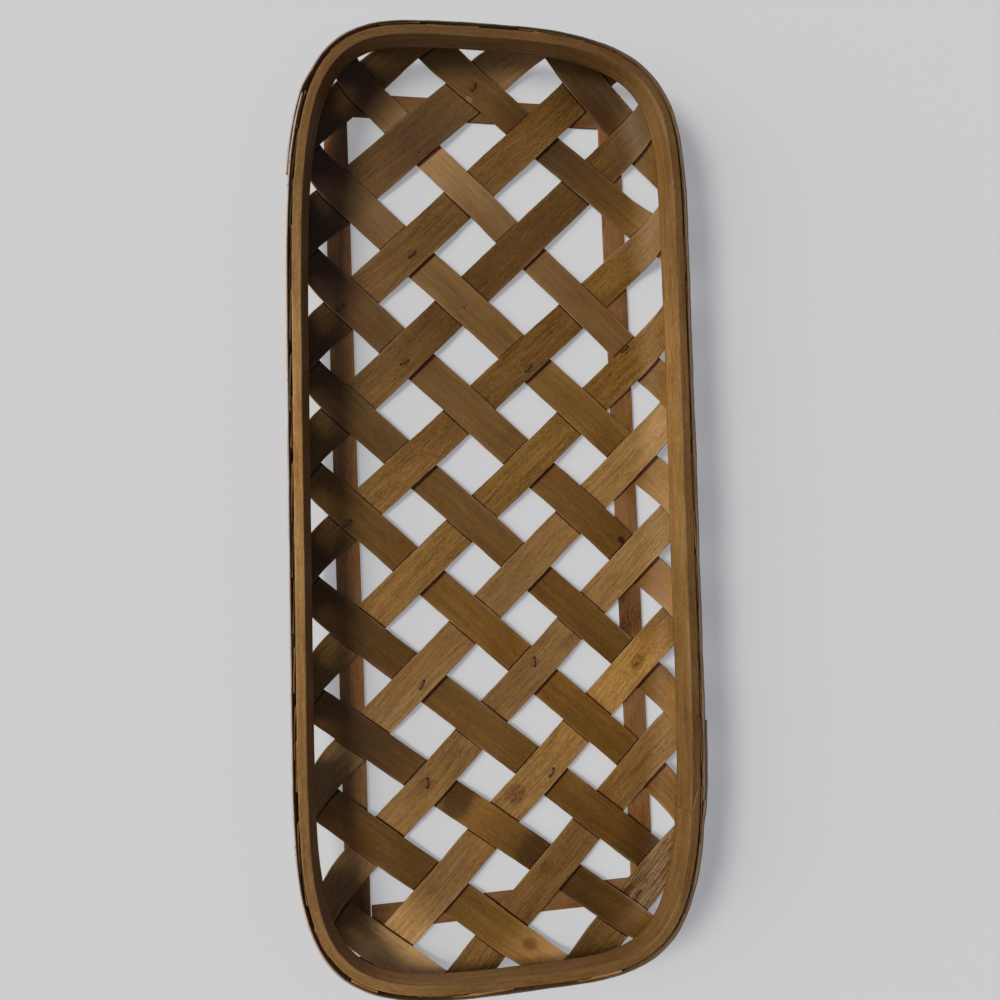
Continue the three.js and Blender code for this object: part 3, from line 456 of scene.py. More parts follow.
def stained_grain():
    # straight-grained wood under a thin brown stain: fibre lines, flecks, soft blotches, marks, dark edges,
    # and over them painted sheen and painted shadow
    tree, nodes, given, result = new_tree(
        "stained_grain",
        "ShaderNodeTree",
        [("Fibre", "Vector", None), ("Mark", "Vector", None)]
        + [(label, "Float", 0.0) for label in ("Tone", "Haze", "Wear", "Grime", "Side", "Torn")]
        + [(label, "Color", (0.2, 0.1, 0.04, 1)) for label in ("Dark", "Middle", "Light", "Pale")]
        + [(label, "Float", 0.5) for label in ("Lines", "Flecks", "Redness")],
        [("Color", "Color"), ("Roughness", "Float"), ("Height", "Float")],
    )
    fibre, torn, pale = given["Fibre"], given["Torn"], given["Pale"]
    bend = nodes.grain(fibre, (9, 20, 20), 1.0)
    across = nodes.vector(Y=nodes.scaled(bend, 0.014, -0.007))
    curved = nodes.first("ShaderNodeVectorMath", {"operation": "ADD"}, i0=fibre, i1=across)
    streaks = nodes.grain(curved, (11, 230, 230), 3.0, 0.55)
    lines = nodes.grain(curved, (26, 560, 560), 3.0, 0.65)
    speckle = nodes.grain(curved, (260, 900, 900), 3.0, 0.65)
    pores = nodes.grain(curved, (170, 1500, 1500), 2.0, 0.6)
    cloud = nodes.grain(fibre, (13, 26, 26), 4.0, 0.6)
    broad = nodes.grain(curved, (2.4, 50, 50))

    # marks: crowds of flecks, knots and splits, pale scuffs, and the two pits of a staple
    x, y, kind = nodes.add("ShaderNodeSeparateXYZ", Vector=given["Mark"]).outputs
    reach = nodes.plus(nodes.length(x, y), nodes.scaled(speckle, 0.5, -0.25))
    reach = nodes.plus(reach, nodes.scaled(cloud, 0.8, -0.4))
    inside = nodes.until(reach, 0.4, 1.05)
    is_crowd = nodes.times(nodes.between(kind, 0.0, 0.5), nodes.until(kind, 0.5, 0.6))
    is_knot = nodes.times(nodes.between(kind, 0.5, 0.9), nodes.until(kind, 1.1, 1.3))
    crowd = nodes.times(inside, is_crowd)
    knot = nodes.times(inside, is_knot)
    scuff = nodes.times(inside, nodes.until(kind, -0.9, 0.0))
    driven = nodes.between(kind, 1.5, 1.9)
    pit_reach = nodes.length(nodes.plus(nodes.size(x), -1.0), y)
    pits = nodes.times(driven, nodes.until(pit_reach, 0.2, 0.42))
    rusted = nodes.times(driven, nodes.until(reach, 0.5, 1.7))

    # flecks: a few in some stretches of the wood, and many in a crowd
    fleck = nodes.grain(curved, (230, 800, 800), 1.0, 0.4, (3, 1, 7))
    patch = nodes.grain(fibre, (14, 30, 30), 1.0, shift=(5, 5, 2))
    sparse = nodes.times(nodes.between(fleck, 0.67, 0.71), nodes.between(patch, 0.46, 0.62))
    dense = nodes.between(nodes.plus(fleck, nodes.times(crowd, 0.17)), 0.71, 0.75)
    fleck = nodes.math("MAXIMUM", nodes.times(sparse, given["Flecks"]), nodes.times(dense, crowd))

    # the wood's own colour, from the dark through the middle to the light of its grain
    value = nodes.scaled(streaks, 0.5, 0.25)
    fine = nodes.scaled(nodes.plus(given["Lines"], torn), 0.75, 0.25)
    long_lines = nodes.times(given["Lines"], 1.1)
    for source, weight in ((cloud, 0.5), (broad, 0.35), (speckle, fine), (pores, fine), (lines, long_lines)):
        value = nodes.plus(value, nodes.times(nodes.plus(source, -0.5), weight))
    color = nodes.blend(nodes.times(value, 2.0, clamp=True), given["Dark"], given["Middle"])
    color = nodes.blend(nodes.scaled(value, 2.0, -1.0, clamp=True), color, given["Light"])
    # painted sheen: a pale haze where light glances off the grain
    haze = nodes.times(given["Haze"], nodes.between(cloud, 0.2, 0.75, 0.5, 1.0))
    haze = nodes.times(haze, nodes.between(lines, 0.3, 0.65, 0.6, 1.1))
    color = nodes.blend(haze, color, pale)

    # a deeper tone is also a redder one, and the deepest, which are mostly painted shade, get blue back for
    # the purplish black of shade lit by a blue sky
    depth = [nodes.math("POWER", base, given["Tone"]) for base in (1.87, 1.95, 2.1)]
    shade_blue = nodes.math("MAXIMUM", nodes.scaled(given["Tone"], -1.0, -1.0), 0.0)
    depth[2] = nodes.scaled(shade_blue, 0.06, depth[2])
    depth = nodes.vector(X=depth[0], Y=depth[1], Z=depth[2])
    color = nodes.first("ShaderNodeVectorMath", {"operation": "MULTIPLY"}, i0=color, i1=depth)

    # what lies in and on the stained wood, with the painted shadow beside crossing strips: where, how
    # strongly, its colour, and how it goes on
    red = nodes.between(nodes.grain(fibre, (9, 17, 17), shift=(8, 3, 1)), 0.48, 0.68)
    splinter = nodes.times(torn, nodes.between(lines, 0.42, 0.62))
    rubbed = nodes.times(given["Wear"], nodes.between(cloud, 0.35, 0.62))
    grime = nodes.between(given["Grime"], 0.25, 0.5)
    for mask, strength, over, way in (
        (red, given["Redness"], (1.12, 0.86, 0.72, 1), "MULTIPLY"),
        (splinter, 0.4, pale, "MIX"),
        (crowd, 0.6, (0.4, 0.3, 0.25, 1), "MULTIPLY"),
        (fleck, 0.75, (0.2, 0.1, 0.06, 1), "MULTIPLY"),
        (rubbed, 0.7, pale, "MIX"),
        (scuff, 0.6, pale, "MIX"),
        (knot, 0.92, (0.12, 0.08, 0.07, 1), "MULTIPLY"),
        (rusted, 0.35, (0.35, 0.2, 0.15, 1), "MULTIPLY"),
        (pits, 1.0, (0.012, 0.007, 0.004, 1), "MIX"),
        # painted shadow with some stain, a reddish black beside the strips that lie over
        (grime, 0.95, (0.2, 0.075, 0.05, 1), "MULTIPLY"),
        (given["Side"], 0.8, (0.22, 0.13, 0.1, 1), "MULTIPLY"),
    ):
        color = nodes.blend(nodes.times(mask, strength), color, over, way)

    rough = nodes.scaled(cloud, 0.2, 0.34)
    for mask, amount in ((pores, 0.2), (grime, 0.12)):
        rough = nodes.scaled(mask, amount, rough)
    height = nodes.scaled(lines, nodes.scaled(torn, 1.2, 0.7), nodes.times(streaks, 0.3))
    for mask, amount in ((speckle, 0.4), (pores, 0.3), (fleck, -0.8), (pits, -2.5)):
        height = nodes.scaled(mask, amount, height)
    nodes.fill(result, Color=color, Roughness=rough, Height=height)
    return tree


grain = stained_grain()


def new_material(name):
    # the material, what places its nodes, and its shader
    material = bpy.data.materials.new(name)
    material.use_nodes = True
    return material, Nodes(material.node_tree), material.node_tree.nodes["Principled BSDF"]


def wood(name, colors, lines, flecks, redness, bump=0.5):
    # colors: the dark, the middle and the light of the grain, and the pale of the painted sheen and of what
    # is rubbed
    material, nodes, shader = new_material(name)
    group = nodes.add("ShaderNodeGroup", {"node_tree": grain})
    for key in ("fibre", "mark", "tone", "haze", "wear", "grime", "side", "torn"):
        attribute = nodes.add("ShaderNodeAttribute", {"attribute_name": key})
        nodes.put(group, key.capitalize(), attribute.outputs["Vector" if key in ("fibre", "mark") else "Fac"])
    for key, color in zip(("Dark", "Middle", "Light", "Pale"), colors):
        nodes.put(group, key, (*color, 1))
    nodes.fill(group, Lines=lines, Flecks=flecks, Redness=redness)
    color, rough, height = group.outputs
    relief = nodes.first("ShaderNodeBump", Strength=bump, Distance=0.3 * MM, Height=height)
    nodes.fill(shader, Base_Color=color, Roughness=rough, Specular_IOR_Level=0.1, Normal=relief)
    return material


# the rising splints are the same wood as the falling ones, painted a little lighter and less red for the
# sheen that light brings out along their grain
RISING_COLORS_WITH_SHEEN = ((0.048, 0.02, 0.004), (0.165, 0.078, 0.013), (0.3, 0.157, 0.033), (0.27, 0.165, 0.08))
FALLING_COLORS = ((0.045, 0.0185, 0.004), (0.155, 0.072, 0.01), (0.28, 0.147, 0.027), (0.27, 0.168, 0.082))
splint_wood = {
    "rising": wood("rising_splint_wood", RISING_COLORS_WITH_SHEEN, lines=1.0, flecks=0.45, redness=0.2),
    "falling": wood("falling_splint_wood", FALLING_COLORS, lines=0.4, flecks=0.35, redness=0.4),
}


def splint_section(half):
    # the points round a splint's section, as how far across and how far above its middle they are
    reach = SPLINT_THICKNESS / 2
    flat_top = np.linspace(SPLINT_SHOULDER - half, half - SPLINT_SHOULDER, 11)
    top = np.concatenate([[SPLINT_EDGE - half], flat_top, [half - SPLINT_EDGE]])
    corner = [
        (half - SPLINT_EDGE * (1 - math.sin(turn)), reach - SPLINT_EDGE * (1 - math.cos(turn)))
        for turn in np.radians([10, 45, 80])
    ]
    half_round = [(w, reach) for w in top] + corner + [(w, -h) for w, h in corner[::-1]]
    return np.array(half_round + [(-w, -h) for w, h in half_round]).T


WALK_STEP = 5
walk = np.arange(-760, 760.1, WALK_STEP)


def trimmed_end(rng, across, heights, way):
    # where each line of a strip reaches its height in the rim, at the end that lies this way
    cut = DEPTH - TRIM_DEPTH - rng.uniform(0, TRIM_VARIES) + wander(rng, across, TRIM_WAVES)
    line = []
    for column in range(len(across)):
        inside = np.nonzero(heights[:, column] < cut[column])[0]
        last = inside[-1] if way > 0 else inside[0]
        z0, z1 = heights[last, column], heights[last + way, column]
        line.append(walk[last] + way * WALK_STEP * (cut[column] - z0) / (z1 - z0))
    return np.array(line)


def bent_splint(strip, others, index):
    rising = strip["family"] == "rising"
    rng = np.random.default_rng(100 * rising + index)
    half = strip["half"]
    across, lift = splint_section(half)
    flat = on_strip(strip, walk[:, None], across[None])
    heights = bend_up(flat.reshape(-1, 2))[0][:, 2].reshape(flat.shape[:2])
    left_end, right_end = [trimmed_end(rng, across, heights, way) for way in (-1, 1)]
    first, last = left_end.mean(), right_end.mean()
    stations = int((right_end - left_end).max() / SPLINT_STEP) + 2
    share = np.linspace(0, 1, stations)[:, None]
    s = left_end[None] * (1 - share) + right_end[None] * share
    # sawn edges run a little uneven, and the strip is cupped a hair
    towards_edge = np.sign(across) * (np.abs(across) / half) ** 2
    w = across[None] * (1 + wander(rng, s, EDGE_WAVES) / half * towards_edge[None])
    flat = on_strip(strip, s, w).reshape(-1, 2)
    place, up = bend_up(flat)
    cup = rng.uniform(-CUP, CUP) * (1 - 2 * (w / half) ** 2)
    worn = np.clip((np.abs(w) - half + WORN_WIDTH) / WORN_WIDTH, 0, 1) ** 2
    s, w = s.ravel(), w.ravel()
    lifted = layer_at(strip, others, flat) * LAYER + (lift[None] + cup).ravel() + wander(rng, s, FACE_WAVES)
    points = place + up * lifted[:, None] + middle_shift

    crowded = min(1.0, (last - first) / SHORT_STRIP)
    left_shade_and_stain = [first + reach_in * crowded for reach_in in LEFT_SHADE_AND_STAIN]
    right_shade_and_stain = [last - reach_in * crowded for reach_in in RIGHT_SHADE_AND_STAIN]
    # the tones and sheen of the upper face carry painted shade, light and sheen besides the stain, so the
    # lower face takes only a share of them
    upper = np.tile(lift > 0, stations)
    shade_and_sheen_share = np.where(upper, 1.0, LOWER_FACE_SHADE_SHARE)
    # the tone along the strip: its stain, with painted shade and light
    tones = np.interp(s, (*left_shade_and_stain, (first + last) / 2, *right_shade_and_stain), strip["tones"])
    lower_edge = (np.abs(across) > half - 0.1) & (lift < 0)
    cut_end = (share == 0) | (share == 1)
    shift_along, shift_across, shift_through = FIBRE_SHIFTS
    fibre = (
        s * MM + shift_along * index,
        w * MM + shift_across * (index + 11 * rising),
        np.tile(lift, stations) * MM + shift_through * index,
    )
    attributes = {
        "fibre": np.stack(fibre, 1),
        "tone": tones * shade_and_sheen_share,
        # painted sheen along the strip
        "haze": np.interp(s, (first, *right_shade_and_stain), strip["sheen_hazes"]) * shade_and_sheen_share,
        "wear": worn.ravel(),
        "side": np.maximum(lower_edge, CUT_END_STAIN * cut_end).ravel().astype(float),
        "mark": mark_at(marks_on(strip), flat),
        "torn": np.exp(-(((s - TORN_AT) / TORN_REACH) ** 2)) * (strip["node"] == TORN_SPLINT),
        # painted shadow with some stain beside crossing strips
        "grime": np.where(upper, shadow_grime_at(strip, others, flat, True), shadow_grime_at(strip, others, flat, False)),
    }
    rings = points.reshape(stations, len(across), 3)
    return closed_mesh(strip["node"] + "_wood", rings, attributes, splint_wood[strip["family"]])


for family, others in (("rising", "falling"), ("falling", "rising")):
    for index, strip in enumerate(strips[family]):
        piece = bent_splint(strip, strips[others], index)
        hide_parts(strip["node"])
        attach(piece, "root")

# Splinters
# Slivers of the torn splint's own wood, at the near right. They lie along its grain, and each stands
# free at one end.

SPLINTERS = 26
SPLINTER_STEPS = 8
SPLINTER_RADIUS = 0.4
SPLINTER_STARTS = (-198, -128)
SPLINTER_LENGTHS = (9, 24)
SPLINTER_LIMITS = (-200, -112)
SPLINTER_SPREAD = 15
SPLINTER_SKEW = 1.6
SPLINTER_RISES = (0.3, 1.5)
SPLINTER_WIDTHS = (0.5, 1.2)
SPLINTER_TONES = (-1.2, 0.3)
# the pale of painted sheen on the slivers' raised fibres
SPLINTER_SHEEN_HAZE = 0.7


def growing_tree(name, inputs):
    # a geometry tree with these inputs besides the geometry that it starts from
    inputs = [("Geometry", "Geometry", None), *inputs]
    return new_tree(name, "GeometryNodeTree", inputs, [("Geometry", "Geometry")])


def swept(nodes, path, profile):
    # a closed body whose section is the profile, along the path
    return nodes.first("GeometryNodeCurveToMesh", Curve=path, Profile_Curve=profile, Fill_Caps=True)


def round_wire(nodes, path, radius, sides):
    size = {"Resolution": sides, "Radius": radius}
    profile = nodes.first("GeometryNodeCurvePrimitiveCircle", {"mode": "RADIUS"}, **size)
    return nodes.first("GeometryNodeSetShadeSmooth", Geometry=swept(nodes, path, profile))


def finish_tree(nodes, result, body, material):
    body = nodes.first("GeometryNodeRealizeInstances", Geometry=body)
    body = nodes.first("GeometryNodeSetMaterial", Geometry=body, Material=material)
    nodes.put(result, "Geometry", body)


def splinter_tree():
    tree, nodes, given, result = growing_tree(
        "splinters", [("Radius", "Float", 0.0), ("Wood", "Material", None)]
    )
    curve = nodes.first("GeometryNodeMeshToCurve", Mesh=given["Geometry"])
    taper = nodes.first("GeometryNodeInputNamedAttribute", {"data_type": "FLOAT"}, Name="taper")
    curve = nodes.first("GeometryNodeSetCurveRadius", Curve=curve, Radius=taper)
    finish_tree(nodes, result, round_wire(nodes, curve, given["Radius"], 6), given["Wood"])
    return tree


def grown(name, tree, inputs, base=None):
    # the mesh that a tree makes with these inputs, as a plain mesh of its own
    seed = placed(name + "_start", base or bpy.data.meshes.new(name + "_start"))
    modifier = seed.modifiers.new("make", "NODES")
    modifier.node_group = tree
    for item in tree.interface.items_tree:
        if item.in_out == "INPUT" and item.name in inputs:
            modifier[item.identifier] = inputs[item.name]
    view = bpy.context.evaluated_depsgraph_get()
    mesh = bpy.data.meshes.new_from_object(seed.evaluated_get(view))
    seed.modifiers.remove(modifier)
    bpy.data.objects.remove(seed)
    mesh.name = name
    return placed(name, mesh)


def splinter_paths(strip):
    # each splinter's middle line, with its thinning, its tone and its own run of grain
    rng = np.random.default_rng(51)

    def each(low, high):
        return rng.uniform(low, high, (SPLINTERS, 1))

    share = np.linspace(0, 1, SPLINTER_STEPS + 1)
    along = each(*SPLINTER_STARTS) + each(*SPLINTER_LENGTHS) * rng.choice([-1, 1], (SPLINTERS, 1)) * share
    along = np.clip(along, *SPLINTER_LIMITS)
    aside = each(-SPLINTER_SPREAD, SPLINTER_SPREAD) + each(-SPLINTER_SKEW, SPLINTER_SKEW) * share**2
    flat = on_strip(strip, along, aside).reshape(-1, 2)
    place, up = bend_up(flat)
    lift = (each(*SPLINTER_RISES) * share**1.7 - 0.1).ravel() + SPLINT_THICKNESS / 2
    lift += layer_at(strip, strips["falling"], flat) * LAYER
    points = (place + up * lift[:, None] + middle_shift) * MM
    chain = [(step, step + 1) for step in range(SPLINTER_STEPS)]
    edges = [(k * len(share) + a, k * len(share) + b) for k in range(SPLINTERS) for a, b in chain]
    paths = bpy.data.meshes.new("splinters")
    paths.from_pydata(points.tolist(), edges, [])
    taper = (each(*SPLINTER_WIDTHS) * (0.2 + 0.8 * (1 - share) ** 0.7)).ravel()
    give(paths, "taper", taper)
    give(paths, "haze", np.full(taper.shape, SPLINTER_SHEEN_HAZE))
    give(paths, "fibre", np.stack([along.ravel() * MM, aside.ravel() * MM, lift * MM], 1))
    give(paths, "tone", np.repeat(rng.uniform(*SPLINTER_TONES, SPLINTERS), len(share)))
    return paths


torn_strip = next(strip for strip in strips["rising"] if strip["node"] == TORN_SPLINT)
sizes = {"Radius": SPLINTER_RADIUS * MM, "Wood": splint_wood["rising"]}
piece = grown("splinters", splinter_tree(), sizes, splinter_paths(torn_strip))
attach(piece, "root")

# Slats
# Four flat battens under the weave, two along the sides and two short ones between them near the
# ends. They are a redder wood than the splints, planed, with their long edges barely rounded.

# by slat: the tone of its middle
SLAT_TONES = {"left_slat": 1.2, "right_slat": 0.0, "far_slat": -0.5, "near_slat": 0.0}
SLAT_EDGE = 0.6
SLAT_WANDER = 0.4
SLAT_STATIONS = 90
# a crowd of dark flecks on the right slat: its middle, and half its width and length
SLAT_STAIN = (134, -118, 24, 38)
SLAT_COLORS = ((0.05, 0.019, 0.005), (0.15, 0.062, 0.014), (0.27, 0.13, 0.035), (0.22, 0.12, 0.06))
slat_wood = wood("slat_wood", SLAT_COLORS, lines=0.6, flecks=0.3, redness=0.4)


def slat_tree():
    # a slat along Y about the origin, its long edges wandering a little
    sizes = ("Length", "Width", "Thickness", "Edge", "Wander", "Seed", "Tone")
    tree, nodes, given, result = growing_tree(
        "slat", [(label, "Float", 0.0) for label in sizes] + [("Wood", "Material", None)]
    )
    half = nodes.times(given["Length"], 0.5)
    start, end = nodes.vector(Y=nodes.times(half, -1.0)), nodes.vector(Y=half)
    line = nodes.first("GeometryNodeCurvePrimitiveLine", Start=start, End=end)
    line = nodes.first("GeometryNodeResampleCurve", Curve=line, Count=SLAT_STATIONS)
    sides = {"Width": given["Width"], "Height": given["Thickness"]}
    profile = nodes.first("GeometryNodeCurvePrimitiveQuadrilateral", **sides)
    rounding = {"Count": 3, "Radius": given["Edge"]}
    profile = nodes.first("GeometryNodeFilletCurve", {"mode": "POLY"}, Curve=profile, **rounding)
    body = swept(nodes, line, profile)
    x, y, z = nodes.add("ShaderNodeSeparateXYZ", Vector=nodes.first("GeometryNodeInputPosition")).outputs
    sample = nodes.vector(X=nodes.times(x, 8.0), Y=nodes.times(y, 14.0), Z=given["Seed"])
    push = nodes.times(nodes.scaled(nodes.noise(sample), 2.0, -1.0), given["Wander"])
    body = nodes.first("GeometryNodeSetPosition", Geometry=body, Offset=nodes.vector(X=push))
    fibre = nodes.vector(X=nodes.plus(y, given["Seed"]), Y=nodes.plus(x, given["Seed"]), Z=z)
    # a long slat that is pale in its middle is deep at its ends
    tone = nodes.times(given["Tone"], nodes.between(nodes.size(y), 0.3, 0.38, 1.0, -0.5))
    edge = nodes.math("DIVIDE", nodes.size(x), nodes.times(given["Width"], 0.5))
    wear = nodes.between(edge, 0.9, 1.0)
    for key, value in (("fibre", fibre), ("wear", wear), ("tone", tone)):
        stored = {"data_type": "FLOAT_VECTOR" if key == "fibre" else "FLOAT", "domain": "POINT"}
        body = nodes.first("GeometryNodeStoreNamedAttribute", stored, Geometry=body, Name=key, Value=value)
    finish_tree(nodes, result, body, given["Wood"])
    return tree


slat_maker = slat_tree()
for index, node in enumerate(("left_slat", "right_slat", "far_slat", "near_slat")):
    low, high = (np.array(corner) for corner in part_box(node))
    size = high - low
    long_way = size[1] > size[0]
    length, width = (size[1], size[0]) if long_way else (size[0], size[1])
    sizes = {
        "Length": float(length - SLAT_WANDER * MM),
        "Width": float(width - 2 * SLAT_WANDER * MM),
        "Thickness": float(size[2]),
        "Edge": SLAT_EDGE * MM,
        "Wander": SLAT_WANDER * MM,
        "Seed": 3.7 * index + 1.3,
        "Tone": SLAT_TONES[node],
        "Wood": slat_wood,
    }
    piece = grown(node + "_wood", slat_maker, sizes)
    points = np.empty(len(piece.data.vertices) * 3, np.float32)
    piece.data.vertices.foreach_get("co", points)
    points = points.reshape(-1, 3)
    if not long_way:
        points = np.stack([-points[:, 1], points[:, 0], points[:, 2]], 1)
    points += ((low + high) / 2).astype(np.float32)
    piece.data.vertices.foreach_set("co", points.ravel())
    if node == "right_slat":
        x, y, half_width, half_length = SLAT_STAIN
        crowd_of_flecks = 0.5
        place = [(points[:, 1] / MM - y) / half_length, (points[:, 0] / MM - x) / half_width]
        give(piece.data, "mark", np.stack([*place, np.full(len(points), crowd_of_flecks)], 1))
    piece.data.update()
    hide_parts(node)
    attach(piece, "root")

# Inner hoop
# One thick strip of paler wood bent round inside the rim. Its ends are shaved to long tapers and
# lapped low on the right side. Its top is rubbed lighter by hands, with softened corners.

HOOP_THICKNESS = 9.0
HOOP_HEIGHT = 24.0
HOOP_EDGE = 0.8
# from the middle of the woven wall to the hoop on one side and the bands on the other
CHANNEL = 1.95
SCARF = 36.0
SCARF_LOW_Y = -309.0
SCARF_TIP = 0.06
SCARF_CLEARANCE = 0.15
RIM_STEP = 4.0
HOOP_COLORS = ((0.07, 0.03, 0.011), (0.2, 0.104, 0.03), (0.34, 0.19, 0.07), (0.34, 0.21, 0.095))
hoop_wood = wood("hoop_wood", HOOP_COLORS, lines=0.6, flecks=0.5, redness=0.4)
# by the turn of its outward side from the right, anticlockwise: the tone of its top and of its sides, each
# partly the wood's own and partly painted light and shade
HOOP_TONES_AND_SHADE = [
    (0, -0.8, -0.1), (20, -0.8, -0.1), (40, -1.1, -0.8), (60, -1.1, -0.3), (75, -1, 0.4), (90, -1.2, 0.3),
    (120, -1.1, 0.4), (130, -0.9, -0.7), (145, -0.3, -0.4), (160, 0.6, -0.3), (185, 0.6, -0.3), (205, 0, 0),
    (222, -0.1, 0.4), (235, -0.2, 1.6), (250, -0.5, 0.9), (270, -1, 0.6), (290, -0.8, 0.2), (310, -0.6, -1),
    (320, -0.8, -0.8), (340, -1.2, -0.65), (360, -0.8, -0.1),
]


def rim_place(side, y):
    # the distance round the rim, in mm from its first point, where a side reaches this y
    on_side = np.nonzero((np.sign(rim[:, 0]) == side) & (np.abs(rim[:, 1] - y) < 12))[0]
    nearest = on_side[np.abs(rim[on_side, 1] - y).argmin()]
    return nearest * rim_length / OUTLINE_POINTS + (y - rim[nearest, 1]) * side


def rim_index(run):
    # the outline's point at or before this distance round the rim
    return np.floor(np.asarray(run) / rim_length * OUTLINE_POINTS).astype(int) % OUTLINE_POINTS


def rim_point(run, out, z):
    # run: distance round the rim, out: from the middle of the woven wall, z: height
    at = (np.asarray(run) / rim_length * OUTLINE_POINTS) % OUTLINE_POINTS
    base, away = rim_between(np.floor(at).astype(int) % OUTLINE_POINTS, (at - np.floor(at))[..., None])
    inward = (DEPTH - z) * np.tan(flare_of(away))
    place = base + away * (out - inward)[..., None]
    return np.concatenate([place, z[..., None]], -1) + middle_shift


def hoop_tone_and_shade(run):
    here = rim_index(run)
    turn = np.degrees(np.arctan2(rim[here, 1] / LENGTH, rim[here, 0] / WIDTH)) % 360
    turns, tops, sides = np.array(HOOP_TONES_AND_SHADE).T
    return np.interp(turn, turns, tops), np.interp(turn, turns, sides)


CORNER_TURNS = [0, 30, 60, 90]
FLAT_STEPS = 5


def with_flats_filled(points):
    # stations by points round: more points along the flats between the rounded corners
    filled = []
    for k, point in enumerate(points):
        after = points[(k + 1) % len(points)]
        steps = FLAT_STEPS if (k + 1) % len(CORNER_TURNS) == 0 else 1
        filled += [point * (1 - step / steps) + after * (step / steps) for step in range(steps)]
    return np.stack(filled, -1)


def rounded_section(inner, outer, bottom, top, edge):
    # a bar's section at each station: how far out and how high the points round it are
    corners = [(inner, bottom, 1, 1), (outer, bottom, -1, 1), (outer, top, -1, -1), (inner, top, 1, -1)]
    outs, heights = [], []
    for (x, z, sx, sz), start in zip(corners, [180, 270, 0, 90]):
        for turn in np.radians(start + np.array(CORNER_TURNS)):
            outs.append(x + sx * edge + edge * np.cos(turn))
            heights.append(z + sz * edge + edge * np.sin(turn))
    return with_flats_filled(outs), with_flats_filled(heights)


def rim_bar(name, run, inner, outer, bottom, top, edge, seed, material, tone, top_sheen_haze):
    # a bent bar of wood along the rim, rubbed at its upper corners, darker at its foot, with painted sheen on
    # its top and painted light and shade in its tones
    edge = np.minimum(edge, (outer - inner) * 0.42)
    outs, heights = rounded_section(inner, outer, bottom, top, edge)
    runs = np.repeat(run[:, None], outs.shape[1], 1)
    middle, half = ((inner + outer) / 2)[:, None], ((outer - inner) / 2)[:, None]
    below_top = heights - top[:, None]
    at_side = np.clip((np.abs(outs - middle) / half - 0.7) / 0.3, 0, 1)
    near_top = np.clip((below_top + 2.5) / 2.5, 0, 1)
    on_top = np.clip(below_top + 1, 0, 1)
    at_foot = np.clip((bottom[:, None] + 3 - heights) / 3, 0, 1)
    top_tone, side_tone = tone(runs)
    attributes = {
        "fibre": np.stack([runs * MM + seed, heights * MM + 0.7 * seed, outs * MM], -1).reshape(-1, 3),
        # tones with painted light and shade, painted sheen on the top, and the foot darkened
        "tone": (on_top * top_tone + (1 - on_top) * side_tone).ravel(),
        "haze": on_top.ravel() * top_sheen_haze,
        "wear": (at_side * near_top).ravel() * 0.3,
        "grime": (at_foot * 0.5).ravel(),
    }
    return closed_mesh(name, rim_point(runs, outs, heights), attributes, material)


run = np.arange(0, rim_length + SCARF + 0.1, RIM_STEP)
run[-1] = rim_length + SCARF
rng = np.random.default_rng(7)
swell = wander(rng, run, [(rim_length / 3, 0.25), (rim_length / 7, 0.15), (97, 0.08)])
inner = -CHANNEL - HOOP_THICKNESS + 0.1 + np.clip(swell, -0.1, 0.5)
outer = np.full_like(run, -CHANNEL)
# both ends taper to a tip, the first on the inside of the lap and the last on its outside
first_taper = inner + (outer - inner) * np.clip(run / SCARF, SCARF_TIP, 1) - SCARF_CLEARANCE
last_share = np.clip(1 - (run - rim_length) / SCARF, SCARF_TIP, 1)
last_taper = outer - (outer - inner) * last_share + SCARF_CLEARANCE
piece = rim_bar(
    "inner_hoop_wood",
    rim_place(1, SCARF_LOW_Y) + run,
    inner=np.where(run > rim_length, last_taper, inner),
    outer=np.where(run < SCARF, first_taper, outer),
    top=DEPTH - 0.15 + np.clip(wander(rng, run, [(211, 0.12), (73, 0.08), (19, 0.04)]), -0.3, 0.15),
    bottom=DEPTH - HOOP_HEIGHT + wander(rng, run, [(305, 0.3), (88, 0.2), (27, 0.08)]),
    edge=HOOP_EDGE,
    seed=11.0,
    material=hoop_wood,
    tone=hoop_tone_and_shade,
    top_sheen_haze=0.0,
)
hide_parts("inner_hoop")
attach(piece, "root")

# Outer bands
# Two thin strips bent round outside the splint ends, one about each end of the basket. The outer end
# of each laps over the start of the other. They are split rather than sawn, so their edges are rough.

BAND_THICKNESS = 2.0
BAND_HEIGHT = 23.0
BAND_EDGE = 0.6
BAND_LAP = 76.0
BAND_RAMP = 26.0
GAP = 0.3
FAR_BAND_END_Y = 300.0
NEAR_BAND_END_Y = -222.0
BAND_COLORS = ((0.045, 0.022, 0.01), (0.14, 0.072, 0.028), (0.27, 0.155, 0.07), (0.17, 0.14, 0.1))
band_wood = wood("band_wood", BAND_COLORS, lines=0.9, flecks=0.8, redness=0.3, bump=0.8)


def band_tone_and_light(run):
    # the bands' top edges are painted lighter along the left side, towards the light, and are dark elsewhere
    return np.interp(rim_out[rim_index(run), 0], (-1, -0.5, 0, 1), (1.7, 0.4, -0.6, -1.2)), 0.3


